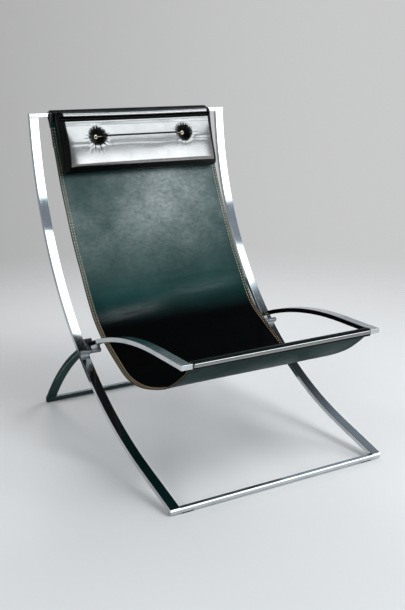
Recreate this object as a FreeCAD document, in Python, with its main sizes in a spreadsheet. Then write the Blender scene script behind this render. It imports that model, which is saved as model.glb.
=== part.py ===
import FreeCAD, Part
import math
import os
import Sketcher

Vector = FreeCAD.Vector

doc = FreeCAD.newDocument("folding_lounge_chair")
sheet = doc.addObject("Spreadsheet::Sheet", "Sizes")

# Driving sizes in millimetres and degrees: name, value, what it is
driving_sizes = [
    ("overall_width", 610, "outside to outside of the long back bars"),
    ("bar_width", 25, "flat bar, across the chair"),
    ("bar_thick", 12, "flat bar, in the side view"),
    ("rail_size", 12, "square cross rails"),
    ("edge_round", 1, "rounded long edges of bars and rails"),
    ("frame_gap", 3, "between a back bar and the seat bar inside it"),
    ("bend_radius", 865, "centre line of both pairs of bent bars"),
    ("back_tail_run", 146, "straight run of a back bar above the front floor rail"),
    ("back_tail_angle", 16, "slope of that run above the floor"),
    ("back_top_run", 46, "straight run of a back bar below the top rail"),
    ("back_lap", 3, "back bar's centre line above the front floor rail's centre"),
    ("back_height", 835, "centre of the top rail above the floor"),
    ("seat_height", 345.5, "centre of the seat front rail above the floor"),
    ("seat_lead", 4, "seat front rail ahead of the front floor rail"),
    ("seat_front_run", 121, "level run of a seat bar behind its front rail"),
    ("seat_leg_run", 43, "straight run of a seat bar above the rear floor rail"),
    ("hinge_offset", 12.5, "hinge axis to the faces of both bars"),
    ("knuckle_diameter", 12, "hinge barrels"),
    ("lug_thick", 8, "webs that carry the barrels"),
    ("pin_diameter", 6, "hinge pins"),
    ("pin_head_diameter", 9, "riveted inner heads of the hinge pins"),
    ("pin_head_thick", 1.5, "thickness of those heads"),
    ("running_clearance", 0.05, "radial, pin to barrel and sleeve to stud"),
    ("soft_clearance", 0.3, "soft and sliding faces to their neighbours"),
    ("stud_diameter", 8, "stop studs"),
    ("buffer_diameter", 13, "rubber sleeves on the stop studs"),
    ("stud_reach", 22, "stop studs, inwards from the back bars"),
    ("glide_thick", 2, "rubber under and at the ends of the floor rails"),
    ("glide_length", 30, "rubber glides along the rails"),
    ("front_glide_inset", 30, "front glides from the ends of their rail"),
    ("sling_side_gap", 4, "leather sling to the seat bars beside it"),
    ("sling_thick", 3.5, "leather sling, doubled and sewn"),
    ("sling_low_height", 214, "lowest line of the sling above the floor"),
    ("sling_front_radius", 421, "sling curve below the seat front rail"),
    ("sling_seat_radius", 130, "sling curve at its lowest line"),
    ("sling_flat_run", 106, "straight stretch of the sling behind the seat"),
    ("sling_flat_angle", 27, "rise of that stretch"),
    ("sling_hip_radius", 190, "sling curve between seat and back"),
    ("sling_back_radius", 1670, "sling curve of the back"),
    ("bend_seat_reach", 56, "flexing stretch of the sling ahead of the hip curve"),
    ("bend_back_reach", 43, "flexing stretch of the sling into the hip curve"),
    ("pillow_side_gap", 5, "headrest's ends in from the sling's edges"),
    ("pillow_length", 161, "headrest down the sling"),
    ("pillow_rise", 12, "headrest's upper edge above the top loop's underside"),
    ("pillow_edge", 34, "headrest thickness at the border of its front face"),
    ("pillow_crown", 8, "rise of the front face's middle over its border"),
    ("pillow_head_inset", 35, "front face below the headrest's upper edge"),
    ("pillow_foot_inset", 26, "front face above the headrest's lower edge"),
    ("pillow_side_inset", 20, "front face in from the headrest's ends"),
    ("pillow_swell", 0.16, "bulge of the rounded sides as a share of their width"),
    ("pillow_draw", 4, "how far the headrest's sides pull in between its corners"),
    ("tuft_inset", 107, "tufts in from the headrest's ends"),
    ("tuft_drop", 70, "tufts below the headrest's upper edge"),
    ("tuft_depth", 18, "tufts below the headrest's face"),
    ("tuft_radius", 31, "round of the tuft hollows"),
    ("eyelet_diameter", 12, "metal eyelets in the tufts"),
    ("eyelet_bore", 5, "holes of the eyelets"),
    ("eyelet_thick", 2, "eyelets' flange"),
    ("lace_diameter", 2.4, "lace pulled tight between the eyelets"),
    ("lace_bend", 3, "radius of the lace where it turns into an eyelet"),
    ("hanger_thick", 3, "leather flap that hangs the headrest"),
    ("hanger_lap", 12, "flap's sewn end behind the headrest"),
    ("hanger_tail", 80, "flap's free tail below the top loop"),
    ("hanger_lean", 15, "slope of the tail along the sling's back, from upright"),
]
for row, (alias, value, note) in enumerate(driving_sizes, start=1):
    sheet.set("A%d" % row, note)
    sheet.set("B%d" % row, str(value))
    sheet.setAlias("B%d" % row, alias)
doc.recompute()


def size(alias):
    return float(sheet.get(alias))


def polar(angle):
    return Vector(0, math.cos(math.radians(angle)), math.sin(math.radians(angle)))


def meet(centre_a, radius_a, centre_b, radius_b, side):
    # where two circles in the side view cross; side picks the crossing left or right of a to b
    along = centre_b - centre_a
    span = along.Length
    along.normalize()
    across = Vector(0, -along.z, along.y)
    reach = (span ** 2 + radius_a ** 2 - radius_b ** 2) / (2 * span)
    rise = math.sqrt(radius_a ** 2 - reach ** 2)
    return centre_a + along * reach + across * (side * rise)


def slope_for(across_run, up_run, level):
    # the angle at which across_run * cos(angle) + up_run * sin(angle) reaches the level
    reach = math.hypot(across_run, up_run)
    turn = math.acos(level / reach)
    if across_run < 0:
        turn = -turn
    return math.degrees(math.atan2(up_run, across_run) + turn)


half_width = size("overall_width") / 2
bar_width = size("bar_width")
bar_thick = size("bar_thick")
rail = size("rail_size")
edge_round = size("edge_round")
soft = size("soft_clearance")
leather = size("sling_thick")
seat_half_width = half_width - bar_width - size("frame_gap")
radius = size("bend_radius")
rail_wrap = rail / 2 + soft + leather

# Side view, first with the front floor rail's centre line at y = 0
floor_rail_height = size("glide_thick") + rail / 2
tail_angle = size("back_tail_angle")
tail_start = Vector(0, 0, floor_rail_height + size("back_lap"))
back_centre = tail_start + polar(tail_angle) * size("back_tail_run") + polar(tail_angle + 90) * radius
bar_top = size("back_height") - rail / 2
top_angle = slope_for(-radius, size("back_top_run"), bar_top - back_centre.z)
bend_top = back_centre - polar(top_angle + 90) * radius
top_rail_y = bend_top.y + (bar_top - bend_top.z) / math.tan(math.radians(top_angle))

seat_rail = Vector(0, -size("seat_lead"), size("seat_height"))
seat_centre = seat_rail + Vector(0, size("seat_front_run"), 0) - Vector(0, 0, radius)
leg_end_height = size("glide_thick") + rail
leg_angle = -slope_for(radius, -size("seat_leg_run"), leg_end_height - seat_centre.z)
leg_top = seat_centre + polar(leg_angle + 90) * radius
rear_rail_y = leg_top.y + (leg_end_height - leg_top.z) / math.tan(math.radians(leg_angle))

# The origin goes to the middle of the depth, from the sling's front to the heels of the seat bars
front_reach = seat_rail.y - rail_wrap
rear_reach = rear_rail_y + max(rail / 2, bar_thick / 2 / math.sin(math.radians(-leg_angle)))
shift = Vector(0, -(front_reach + rear_reach) / 2, 0)
back_centre = back_centre + shift
seat_centre = seat_centre + shift
seat_rail = seat_rail + shift
floor_rail = Vector(0, shift.y, floor_rail_height)
rear_rail = Vector(0, rear_rail_y + shift.y, floor_rail_height)
top_rail = Vector(0, top_rail_y + shift.y, size("back_height"))

# The hinge axis lies equally far from the inner faces of both bends, so that the frames nest
hinge_radius = radius - bar_thick / 2 - size("hinge_offset")
hinge = meet(back_centre, hinge_radius, seat_centre, hinge_radius, 1)
fold_to_nest = math.degrees(
    math.atan2(seat_centre.z - hinge.z, seat_centre.y - hinge.y)
    - math.atan2(back_centre.z - hinge.z, back_centre.y - hinge.y)) % 360

# The stop studs stand on the back bars' centre line, just above the seat bars
stop_reach = radius + bar_thick / 2 + soft + size("buffer_diameter") / 2
stop = meet(back_centre, radius, seat_centre, stop_reach, 1)


def bind(item, **expressions):
    for name, expression in expressions.items():
        item.setExpression(name, expression)


def named(item, label):
    item.Label = label
    return item


def box(label, length, width, height, base):
    item = named(doc.addObject("Part::Box", label), label)
    bind(item, Length=length, Width=width, Height=height)
    item.Placement.Base = base
    return item


def cylinder_across(label, radius_expression, length_expression, base):
    item = named(doc.addObject("Part::Cylinder", label), label)
    bind(item, Radius=radius_expression, Height=length_expression)
    item.Placement = FreeCAD.Placement(base, FreeCAD.Rotation(Vector(0, 1, 0), 90))
    return item


def cut(label, base, tool):
    item = named(doc.addObject("Part::Cut", label), label)
    item.Base = base
    item.Tool = tool
    return item


def fuse(label, base, tool):
    item = named(doc.addObject("Part::Fuse", label), label)
    item.Base = base
    item.Tool = tool
    return item


def group(label, items):
    item = named(doc.addObject("Part::Compound", label), label)
    item.Links = items
    return item


def solid_feature(label, shape):
    item = named(doc.addObject("Part::Feature", label), label)
    item.Shape = shape
    return item


nodes = []


def keep(item):
    nodes.append(item)
    return item


def at_x(point, x):
    return Vector(x, point.y, point.z)


# Cross rails: square bars that run to the outer edges of their own frame
def cross_rail(label, centre, half_length, length_expression):
    base = Vector(-half_length, centre.y - rail / 2, centre.z - rail / 2)
    square = box(label + "_square", length_expression, "Sizes.rail_size", "Sizes.rail_size", base)
    doc.recompute()
    along = [number for number, edge in enumerate(square.Shape.Edges, start=1) if edge.Length > 2 * rail]
    item = named(doc.addObject("Part::Fillet", label), label)
    item.Base = square
    item.Edges = [(number, edge_round, edge_round) for number in along]
    return keep(item)


seat_width = "Sizes.overall_width - 2 * (Sizes.bar_width + Sizes.frame_gap)"
cross_rail("top_rail", top_rail, half_width, "Sizes.overall_width")
floor_rail_bar = cross_rail("front_floor_rail", floor_rail, half_width, "Sizes.overall_width")
cross_rail("seat_front_rail", seat_rail, seat_half_width, seat_width)
cross_rail("rear_floor_rail", rear_rail, seat_half_width, seat_width)


# Bent flat bars: a padded outline of two lines and a bend, one end upright and one end level
def bent_bar(label, x, bend_centre, start_angle, end_angle, turn, front_y, end_z):
    def on_bend(angle, offset):
        return bend_centre + polar(angle - 90 * turn) * (radius + turn * offset)

    def at_y(point, angle, y):
        return Vector(0, y, point.z + (y - point.y) * math.tan(math.radians(angle)))

    def at_z(point, angle, z):
        return Vector(0, point.y + (z - point.z) / math.tan(math.radians(angle)), z)

    def flat(point):
        return Vector(point.y, point.z, 0)

    body = named(doc.addObject("PartDesign::Body", label), label)
    outline = body.newObject("Sketcher::SketchObject", label + "_outline")
    plane = [item for item in body.Origin.OriginFeatures if item.Role == "YZ_Plane"][0]
    outline.AttachmentSupport = [(plane, "")]
    outline.MapMode = "FlatFace"
    edges = []
    for offset in (bar_thick / 2, -bar_thick / 2):
        first = on_bend(start_angle, offset)
        last = on_bend(end_angle, offset)
        edges.append((at_y(first, start_angle, front_y), first, last, at_z(last, end_angle, end_z), offset))
    for near, first, last, far, offset in edges:
        outline.addGeometry(Part.LineSegment(flat(near), flat(first)))
        circle = Part.Circle(flat(bend_centre), Vector(0, 0, 1), radius + turn * offset)
        angles = [math.radians(start_angle - 90 * turn), math.radians(end_angle - 90 * turn)]
        outline.addGeometry(Part.ArcOfCircle(circle, min(angles), max(angles)))
        outline.addGeometry(Part.LineSegment(flat(last), flat(far)))
    outline.addGeometry(Part.LineSegment(flat(edges[0][3]), flat(edges[1][3])))
    outline.addGeometry(Part.LineSegment(flat(edges[1][0]), flat(edges[0][0])))
    arc_first, arc_last = (1, 2) if turn > 0 else (2, 1)
    for start in (0, 3):
        outline.addConstraint(Sketcher.Constraint("Tangent", start, 2, start + 1, arc_first))
        outline.addConstraint(Sketcher.Constraint("Tangent", start + 1, arc_last, start + 2, 1))
    for a, a_end, b, b_end in ((2, 2, 6, 1), (6, 2, 5, 2), (3, 1, 7, 1), (7, 2, 0, 1), (1, 3, 4, 3)):
        outline.addConstraint(Sketcher.Constraint("Coincident", a, a_end, b, b_end))
    outline.addConstraint(Sketcher.Constraint("Horizontal", 6))
    outline.addConstraint(Sketcher.Constraint("Vertical", 7))
    for arc, sign in ((1, turn), (4, -turn)):
        index = outline.addConstraint(Sketcher.Constraint("Radius", arc, radius + sign * bar_thick / 2))
        sum_or_less = "+" if sign > 0 else "-"
        bound = "Sizes.bend_radius %s Sizes.bar_thick / 2" % sum_or_less
        outline.setExpression("Constraints[%d]" % index, bound)
    pad = body.newObject("PartDesign::Pad", label + "_pad")
    pad.Profile = outline
    bind(pad, Length="Sizes.bar_width")
    body.Placement.Base = Vector(x, 0, 0)
    doc.recompute()
    rounding = body.newObject("PartDesign::Fillet", label + "_rounding")
    names = []
    for number, edge in enumerate(pad.Shape.Edges, start=1):
        if edge.Length > 2 * bar_thick and edge.BoundBox.XLength < bar_width / 2:
            names.append("Edge%d" % number)
    rounding.Base = (pad, names)
    bind(rounding, Radius="Sizes.edge_round")
    return body


def lug(label, x, along):
    # web from the hinge axis out to a bar's face, set a little into it and trimmed by the bar later
    item = named(doc.addObject("Part::Box", label), label)
    reach = "Sizes.hinge_offset + Sizes.bar_thick / 2"
    bind(item, Length="Sizes.bar_width", Width="Sizes.lug_thick", Height=reach)
    turn = math.degrees(math.atan2(-along.y, along.z))
    spin = FreeCAD.Rotation(Vector(1, 0, 0), turn)
    side_step = spin.multVec(Vector(0, -size("lug_thick") / 2, 0))
    item.Placement = FreeCAD.Placement(at_x(hinge, x) + side_step, spin)
    return item


bore_radius = "Sizes.pin_diameter / 2 + Sizes.running_clearance"


def knuckle(label, x, bar, along):
    place = at_x(hinge, x)
    barrel = cylinder_across(label + "_barrel", "Sizes.knuckle_diameter / 2", "Sizes.bar_width", place)
    web = cut(label + "_web", lug(label + "_lug", x, along), bar)
    whole = fuse(label + "_blank", barrel, web)
    bore = cylinder_across(label + "_bore", bore_radius, "Sizes.bar_width", place)
    return keep(cut(label, whole, bore))


# Glides under the floor rails: rubber pads, and at the back also caps over the rail ends
def front_glide(label, x):
    base = Vector(x, floor_rail.y - rail / 2, 0)
    return box(label, "Sizes.glide_length", "Sizes.rail_size", "Sizes.glide_thick", base)


def rear_glide(label, side):
    thick = size("glide_thick")
    low_x = -seat_half_width - thick if side < 0 else seat_half_width - size("glide_length")
    cap_x = -seat_half_width - thick if side < 0 else seat_half_width
    front = rear_rail.y - rail / 2
    pad_length = "Sizes.glide_length + Sizes.glide_thick"
    pad = box(label + "_pad", pad_length, "Sizes.rail_size", "Sizes.glide_thick", Vector(low_x, front, 0))
    cap_base = Vector(cap_x, front, thick)
    cap = box(label + "_cap", "Sizes.glide_thick", "Sizes.rail_size", "Sizes.rail_size", cap_base)
    return fuse(label, pad, cap)


glide_x = half_width - size("front_glide_inset")
front_pads = [front_glide("front_glide_left", -glide_x)]
front_pads.append(front_glide("front_glide_right", glide_x - size("glide_length")))
keep(group("front_glides", front_pads))
keep(group("rear_glides", [rear_glide("rear_glide_left", -1), rear_glide("rear_glide_right", 1)]))

# Both sides: bars, hinge, stop
back_web = hinge - back_centre
seat_web = hinge - seat_centre
pin_length = "2 * Sizes.bar_width + Sizes.frame_gap + Sizes.soft_clearance"
for side, word in ((-1, "left"), (1, "right")):
    back_x = -half_width if side < 0 else half_width - bar_width
    seat_x = -seat_half_width if side < 0 else seat_half_width - bar_width

    back_blank = bent_bar(word + "_back_bar_blank", back_x, back_centre, tail_angle, top_angle, 1,
                          floor_rail.y - rail / 2, bar_top)
    keep(cut(word + "_back_bar", back_blank, floor_rail_bar))
    seat_bar = bent_bar(word + "_seat_bar", seat_x, seat_centre, 0, leg_angle, -1,
                        seat_rail.y + rail / 2, leg_end_height)
    keep(seat_bar)

    knuckle(word + "_back_knuckle", back_x, back_blank, back_web)
    knuckle(word + "_seat_knuckle", seat_x, seat_bar, seat_web)

    gap_x = -half_width + bar_width if side < 0 else seat_half_width + soft
    washer_thick = "Sizes.frame_gap - Sizes.soft_clearance"
    washer_place = at_x(hinge, gap_x)
    disc = cylinder_across(word + "_washer_disc", "Sizes.knuckle_diameter / 2", washer_thick, washer_place)
    disc_bore = cylinder_across(word + "_washer_bore", bore_radius, washer_thick, washer_place)
    keep(cut(word + "_hinge_washer", disc, disc_bore))

    inner_x = seat_half_width - bar_width - soft
    shank_x = -half_width if side < 0 else inner_x
    head_x = -inner_x if side < 0 else inner_x - size("pin_head_thick")
    shank = cylinder_across(word + "_pin_shank", "Sizes.pin_diameter / 2", pin_length, at_x(hinge, shank_x))
    head = cylinder_across(word + "_pin_head", "Sizes.pin_head_diameter / 2", "Sizes.pin_head_thick",
                           at_x(hinge, head_x))
    keep(fuse(word + "_hinge_pin", shank, head))

    stud_x = -half_width + bar_width if side < 0 else half_width - bar_width - size("stud_reach")
    stud_place = at_x(stop, stud_x)
    keep(cylinder_across(word + "_stop_stud", "Sizes.stud_diameter / 2", "Sizes.stud_reach", stud_place))
    sleeve = cylinder_across(word + "_sleeve", "Sizes.buffer_diameter / 2", "Sizes.stud_reach", stud_place)
    sleeve_radius = "Sizes.stud_diameter / 2 + Sizes.running_clearance"
    sleeve_bore = cylinder_across(word + "_sleeve_bore", sleeve_radius, "Sizes.stud_reach", stud_place)
    keep(cut(word + "_stop_buffer", sleeve, sleeve_bore))


# Sling: its middle line is a chain of tangent curves from the seat front rail to the top rail
class Stretch:
    def __init__(self, start, start_angle, end_angle, bend, length):
        self.start = start
        self.angles = (start_angle, end_angle)
        self.bend = bend
        if bend:
            self.centre = start + polar(start_angle + 90) * bend
            self.end = self.point(end_angle, 0)
        else:
            self.end = start + polar(start_angle) * length

    def point(self, angle, offset):
        return self.centre - polar(angle + 90) * (self.bend - offset)

    def edge(self, offset):
        if not self.bend:
            rise = polar(self.angles[0] + 90) * offset
            return Part.makeLine(self.start + rise, self.end + rise)
        middle = (self.angles[0] + self.angles[1]) / 2
        arc = [self.point(angle, offset) for angle in (self.angles[0], middle, self.angles[1])]
        return Part.Arc(*arc).toShape()


loop_middle = rail / 2 + soft + leather / 2
sling_front = seat_rail + Vector(0, rail / 2, -loop_middle)
sling_top = top_rail + Vector(0, 0, -loop_middle)
half_sling = seat_half_width - bar_width - size("sling_side_gap")
front_radius = size("sling_front_radius")
hip_radius = size("sling_hip_radius")
back_radius = size("sling_back_radius")
flat_rise = size("sling_flat_angle")
drop = sling_front.z - size("sling_low_height")
front_fall = -math.degrees(math.acos(1 - drop / front_radius))
bend_rise = flat_rise + math.degrees(size("bend_back_reach") / hip_radius)

front_curve = Stretch(sling_front, front_fall, 0, front_radius, 0)
seat_curve = Stretch(front_curve.end, 0, flat_rise, size("sling_seat_radius"), 0)
seat_run = size("sling_flat_run") - size("bend_seat_reach")
seat_flat = Stretch(seat_curve.end, flat_rise, flat_rise, 0, seat_run)
bend_flat = Stretch(seat_flat.end, flat_rise, flat_rise, 0, size("bend_seat_reach"))
bend_curve = Stretch(bend_flat.end, flat_rise, bend_rise, hip_radius, 0)

# the back's curve leaves the hip curve where it then meets the top rail
to_top = sling_top - bend_curve.centre
spare = back_radius - hip_radius
level = (to_top.Length ** 2 + spare ** 2 - back_radius ** 2) / (2 * spare)
hip_rise = slope_for(to_top.z, -to_top.y, level)
hip_curve = Stretch(bend_curve.end, bend_rise, hip_rise, hip_radius, 0)
back_middle = hip_curve.end + polar(hip_rise + 90) * back_radius
top_rise = math.degrees(math.atan2(sling_top.y - back_middle.y, back_middle.z - sling_top.z))
back_curve = Stretch(hip_curve.end, hip_rise, top_rise, back_radius, 0)


def across(face, half_length):
    solid = face.extrude(Vector(2 * half_length, 0, 0))
    solid.translate(Vector(-half_length, 0, 0))
    return solid


def ribbon(stretches, thick, half_length):
    upper = [item.edge(thick / 2) for item in stretches]
    lower = [item.edge(-thick / 2) for item in stretches]
    ends = [Part.makeLine(upper[0].Vertexes[0].Point, lower[0].Vertexes[0].Point)]
    ends.append(Part.makeLine(upper[-1].Vertexes[-1].Point, lower[-1].Vertexes[-1].Point))
    wire = Part.Wire(Part.__sortEdges__(upper + lower + ends))
    return across(Part.Face(wire), half_length)


def rounded_square(centre, half, corner):
    points = [(1, 1), (-1, 1), (-1, -1), (1, -1)]
    edges = []
    for quarter, (y, z) in enumerate(points):
        pivot = centre + Vector(0, y * (half - corner), z * (half - corner))
        start = pivot + polar(90 * quarter) * corner
        middle = pivot + polar(90 * quarter + 45) * corner
        end = pivot + polar(90 * quarter + 90) * corner
        edges.append(Part.Arc(start, middle, end).toShape())
    sides = []
    for first, second in zip(edges, edges[1:] + edges[:1]):
        sides.append(Part.makeLine(first.Vertexes[-1].Point, second.Vertexes[0].Point))
    return Part.Wire(Part.__sortEdges__(edges + sides))


def rail_loop(centre):
    # the sling's hem round a rail, a closed tube with rounded corners
    outer = rounded_square(centre, rail_wrap, leather + soft)
    room = rail / 2 + soft
    inner = rounded_square(centre, room, soft)
    return across(Part.Face([outer, inner]), half_sling)


seat_panel = ribbon([front_curve, seat_curve, seat_flat], leather, half_sling).fuse(rail_loop(seat_rail))
back_panel = ribbon([hip_curve, back_curve], leather, half_sling).fuse(rail_loop(top_rail))
rail_room = 2 * (rail / 2 + soft)
for panel, centre, label in ((seat_panel, seat_rail, "sling_seat"), (back_panel, top_rail, "sling_back")):
    room = Part.makeBox(2 * half_sling, rail_room, rail_room,
                        Vector(-half_sling, centre.y - rail_room / 2, centre.z - rail_room / 2))
    keep(solid_feature(label, panel.cut(room).removeSplitter()))
keep(solid_feature("sling_bend", ribbon([bend_flat, bend_curve], leather, half_sling)))

# Headrest: it hangs from the top loop's front and its foot lies on the sling; s down, n to the front
foot_turn = math.degrees(size("pillow_length") / back_radius)
flap = size("hanger_thick")
pillow_top = top_rail - Vector(0, rail_wrap + flap + 2 * soft, rail_wrap - size("pillow_rise"))
pillow_foot = back_curve.point(top_rise - foot_turn, leather / 2 + soft)
down = pillow_foot - pillow_top
pillow_length = down.Length
down.normalize()
out = Vector(0, down.z, -down.y)
half_pillow = half_sling - size("pillow_side_gap")
edge_thick = size("pillow_edge")
crown = size("pillow_crown")
draw = size("pillow_draw")


def on_pillow(x, s, n):
    return Vector(x, pillow_top.y, pillow_top.z) + down * s + out * n


def pillow_section(x, share, pull):
    # flat against the sling, rounded at head and foot, crowned in front; share scales its thickness
    edge = edge_thick * share
    low, high = pull, pillow_length - pull
    head = low + size("pillow_head_inset") * share
    foot = high - size("pillow_foot_inset") * share
    swell = size("pillow_swell")

    corners = [on_pillow(x, low, 0), on_pillow(x, high, 0)]
    corners += [on_pillow(x, foot, edge), on_pillow(x, head, edge)]
    foot_middle = on_pillow(x, (high + foot) / 2 + swell * edge, edge / 2 + swell * (high - foot))
    face_middle = on_pillow(x, (head + foot) / 2, edge + crown * share)
    head_middle = on_pillow(x, (low + head) / 2 - swell * edge, edge / 2 + swell * (head - low))
    edges = [Part.makeLine(corners[0], corners[1])]
    edges.append(Part.Arc(corners[1], foot_middle, corners[2]).toShape())
    edges.append(Part.Arc(corners[2], face_middle, corners[3]).toShape())
    edges.append(Part.Arc(corners[3], head_middle, corners[0]).toShape())
    return Part.Wire(edges)


# the ends round off like a quarter circle, in four steps
steps = (0.04, 0.3, 0.65, 1)
ends = [(step * size("pillow_side_inset"), math.sqrt(1 - (1 - step) ** 2)) for step in steps]
sections = [pillow_section(-half_pillow + inset, share, 0) for inset, share in ends]
sections.append(pillow_section(0, 1, draw))
sections += [pillow_section(half_pillow - inset, share, 0) for inset, share in reversed(ends)]
pillow = Part.makeLoft(sections, True, True)
side_radius = (pillow_length ** 2 / 4 + draw ** 2) / (2 * draw)
cutter_height = 3 * (edge_thick + crown)
for side in (-1, 1):
    axis_x = side * (half_pillow - draw + side_radius)
    foot_point = on_pillow(axis_x, pillow_length / 2, -edge_thick)
    pillow = pillow.cut(Part.makeCylinder(side_radius, cutter_height, foot_point, out))

# Two tufts: round hollows with a flat seat for the eyelet and a hole for the lace
tuft_drop = size("tuft_drop")
half_spacing = half_pillow - size("tuft_inset")
tuft_floor = edge_thick + crown - size("tuft_depth")
lace_radius = size("lace_diameter") / 2
lace_level = tuft_floor + size("eyelet_thick") + soft + lace_radius
hole_depth = size("lace_bend") + 3 * size("lace_diameter")
eyelets = []
for side in (-1, 1):
    x = side * half_spacing
    floor_point = on_pillow(x, tuft_drop, tuft_floor)
    hollow = Part.makeSphere(size("tuft_radius"), floor_point + out * size("tuft_radius"))
    seat = Part.makeCylinder(size("eyelet_diameter") / 2 + soft, size("tuft_depth"), floor_point, out)
    hole = Part.makeCylinder(size("eyelet_bore") / 2, 2 * hole_depth, floor_point - out * hole_depth, out)
    pillow = pillow.cut(hollow).cut(seat).cut(hole)
    flange = Part.makeCylinder(size("eyelet_diameter") / 2, size("eyelet_thick"), floor_point, out)
    eyelets.append(flange.cut(hole))
groove_width = size("lace_diameter") + 2 * soft
groove_low = lace_level - lace_radius - soft
groove_top = edge_thick + 2 * crown
groove_sides = (tuft_drop - groove_width / 2, tuft_drop + groove_width / 2)
groove_points = [on_pillow(-half_spacing, s, groove_low) for s in groove_sides]
groove_points += [on_pillow(-half_spacing, s, groove_top) for s in reversed(groove_sides)]
groove_wire = Part.makePolygon(groove_points + groove_points[:1])
groove = Part.Face(groove_wire).extrude(Vector(2 * half_spacing, 0, 0))
keep(solid_feature("headrest_pillow", pillow.cut(groove)))
keep(solid_feature("headrest_eyelets", Part.makeCompound(eyelets)))

# Lace: straight between the eyelets, turned down through each of them
bend = size("lace_bend")
lace_edges = []
corner_drop = bend * (1 - math.cos(math.radians(45)))
for side in (-1, 1):
    x = side * half_spacing
    low = on_pillow(x, tuft_drop, lace_level - bend)
    turn_middle = on_pillow(x - side * corner_drop, tuft_drop, lace_level - corner_drop)
    turn_end = on_pillow(x - side * bend, tuft_drop, lace_level)
    bottom = on_pillow(x, tuft_drop, tuft_floor - hole_depth + soft)
    lace_edges.append(Part.makeLine(bottom, low))
    lace_edges.append(Part.Arc(low, turn_middle, turn_end).toShape())
run_start = on_pillow(-half_spacing + bend, tuft_drop, lace_level)
run_end = on_pillow(half_spacing - bend, tuft_drop, lace_level)
lace_edges.append(Part.makeLine(run_start, run_end))
lace_path = Part.Wire(Part.__sortEdges__(lace_edges))
lace_start = on_pillow(-half_spacing, tuft_drop, tuft_floor - hole_depth + soft)
lace_ring = Part.Wire(Part.Circle(lace_start, out, lace_radius).toShape())
keep(solid_feature("headrest_lace", lace_path.makePipeShell([lace_ring], True, False)))

# Hanger: a leather flap from the headrest's back over the sling's top loop, free behind
corner_room = leather + 2 * soft
flap_foot = pillow_top.z - size("hanger_lap")
lean = size("hanger_lean")


def flap_line(offset):
    # one side of the flap: up in front of the loop, over it, down behind it and along the sling's back
    reach = rail_wrap + soft + offset
    corner = corner_room + offset
    pivots = [top_rail + Vector(0, way * (reach - corner), reach - corner) for way in (-1, 1)]
    points = [[pivots[0] + polar(angle) * corner for angle in (180, 135, 90)]]
    points.append([pivots[1] + polar(angle) * corner for angle in (90, 45, 0)])
    lower_pivot = top_rail + Vector(0, reach - corner, corner - reach)
    points.append([lower_pivot + polar(angle) * corner for angle in (0, -lean / 2, -lean)])
    foot = Vector(0, top_rail.y - reach, flap_foot)
    tail = points[2][2] + polar(-90 - lean) * size("hanger_tail")
    line = [Part.makeLine(foot, points[0][0]), Part.Arc(*points[0]).toShape()]
    line.append(Part.makeLine(points[0][2], points[1][0]))
    line.append(Part.Arc(*points[1]).toShape())
    line.append(Part.makeLine(points[1][2], points[2][0]))
    line.append(Part.Arc(*points[2]).toShape())
    line.append(Part.makeLine(points[2][2], tail))
    return foot, line, tail


inner_foot, inner_line, inner_tail = flap_line(0)
outer_foot, outer_line, outer_tail = flap_line(flap)
flap_ends = [Part.makeLine(inner_foot, outer_foot), Part.makeLine(inner_tail, outer_tail)]
flap_wire = Part.Wire(Part.__sortEdges__(inner_line + outer_line + flap_ends))
keep(solid_feature("headrest_hanger", across(Part.Face(flap_wire), half_pillow)))

doc.recompute()
for item in doc.Objects:
    if "Invalid" in item.State or "Error" in item.State:
        raise RuntimeError("%s failed: %s" % (item.Label, item.State))
for item in nodes:
    if item.Shape.isNull() or not item.Shape.isValid():
        raise RuntimeError("%s has no valid shape" % item.Label)
os.makedirs("parts", exist_ok=True)
for item in nodes:
    item.Shape.exportStep("parts/%s.step" % item.Label)

print("nodes", len(nodes))
print("hinge y %.2f z %.2f, frames nest after %.1f degrees" % (hinge.y, hinge.z, fold_to_nest))
print("stop y %.2f z %.2f" % (stop.y, stop.z))
print("rails: top %.1f %.1f, seat %.1f %.1f, front floor %.1f, rear floor %.1f" % (
    top_rail.y, top_rail.z, seat_rail.y, seat_rail.z, floor_rail.y, rear_rail.y))
print("slopes: bars %.2f %.2f, sling %.2f %.2f %.2f" % (top_angle, leg_angle, front_fall, hip_rise, top_rise))
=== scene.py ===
import math
import bpy
import numpy as np
from mathutils import Euler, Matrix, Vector, noise


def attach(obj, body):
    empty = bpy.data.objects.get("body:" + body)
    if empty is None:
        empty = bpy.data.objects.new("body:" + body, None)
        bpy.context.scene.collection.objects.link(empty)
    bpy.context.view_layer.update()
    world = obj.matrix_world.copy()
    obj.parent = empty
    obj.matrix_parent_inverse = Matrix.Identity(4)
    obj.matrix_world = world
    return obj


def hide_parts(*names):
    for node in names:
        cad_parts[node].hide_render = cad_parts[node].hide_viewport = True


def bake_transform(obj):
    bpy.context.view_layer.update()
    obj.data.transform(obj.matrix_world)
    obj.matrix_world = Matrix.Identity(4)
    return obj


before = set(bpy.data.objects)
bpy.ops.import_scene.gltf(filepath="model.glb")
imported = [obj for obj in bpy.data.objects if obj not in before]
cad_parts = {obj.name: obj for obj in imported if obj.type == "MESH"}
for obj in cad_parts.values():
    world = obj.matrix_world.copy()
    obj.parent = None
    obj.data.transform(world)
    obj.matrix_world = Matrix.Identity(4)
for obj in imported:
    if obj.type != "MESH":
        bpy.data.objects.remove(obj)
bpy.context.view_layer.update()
scene = bpy.context.scene
scene.view_settings.view_transform = "Standard"
print("frame loaded:", len(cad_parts), "nodes")

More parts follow.
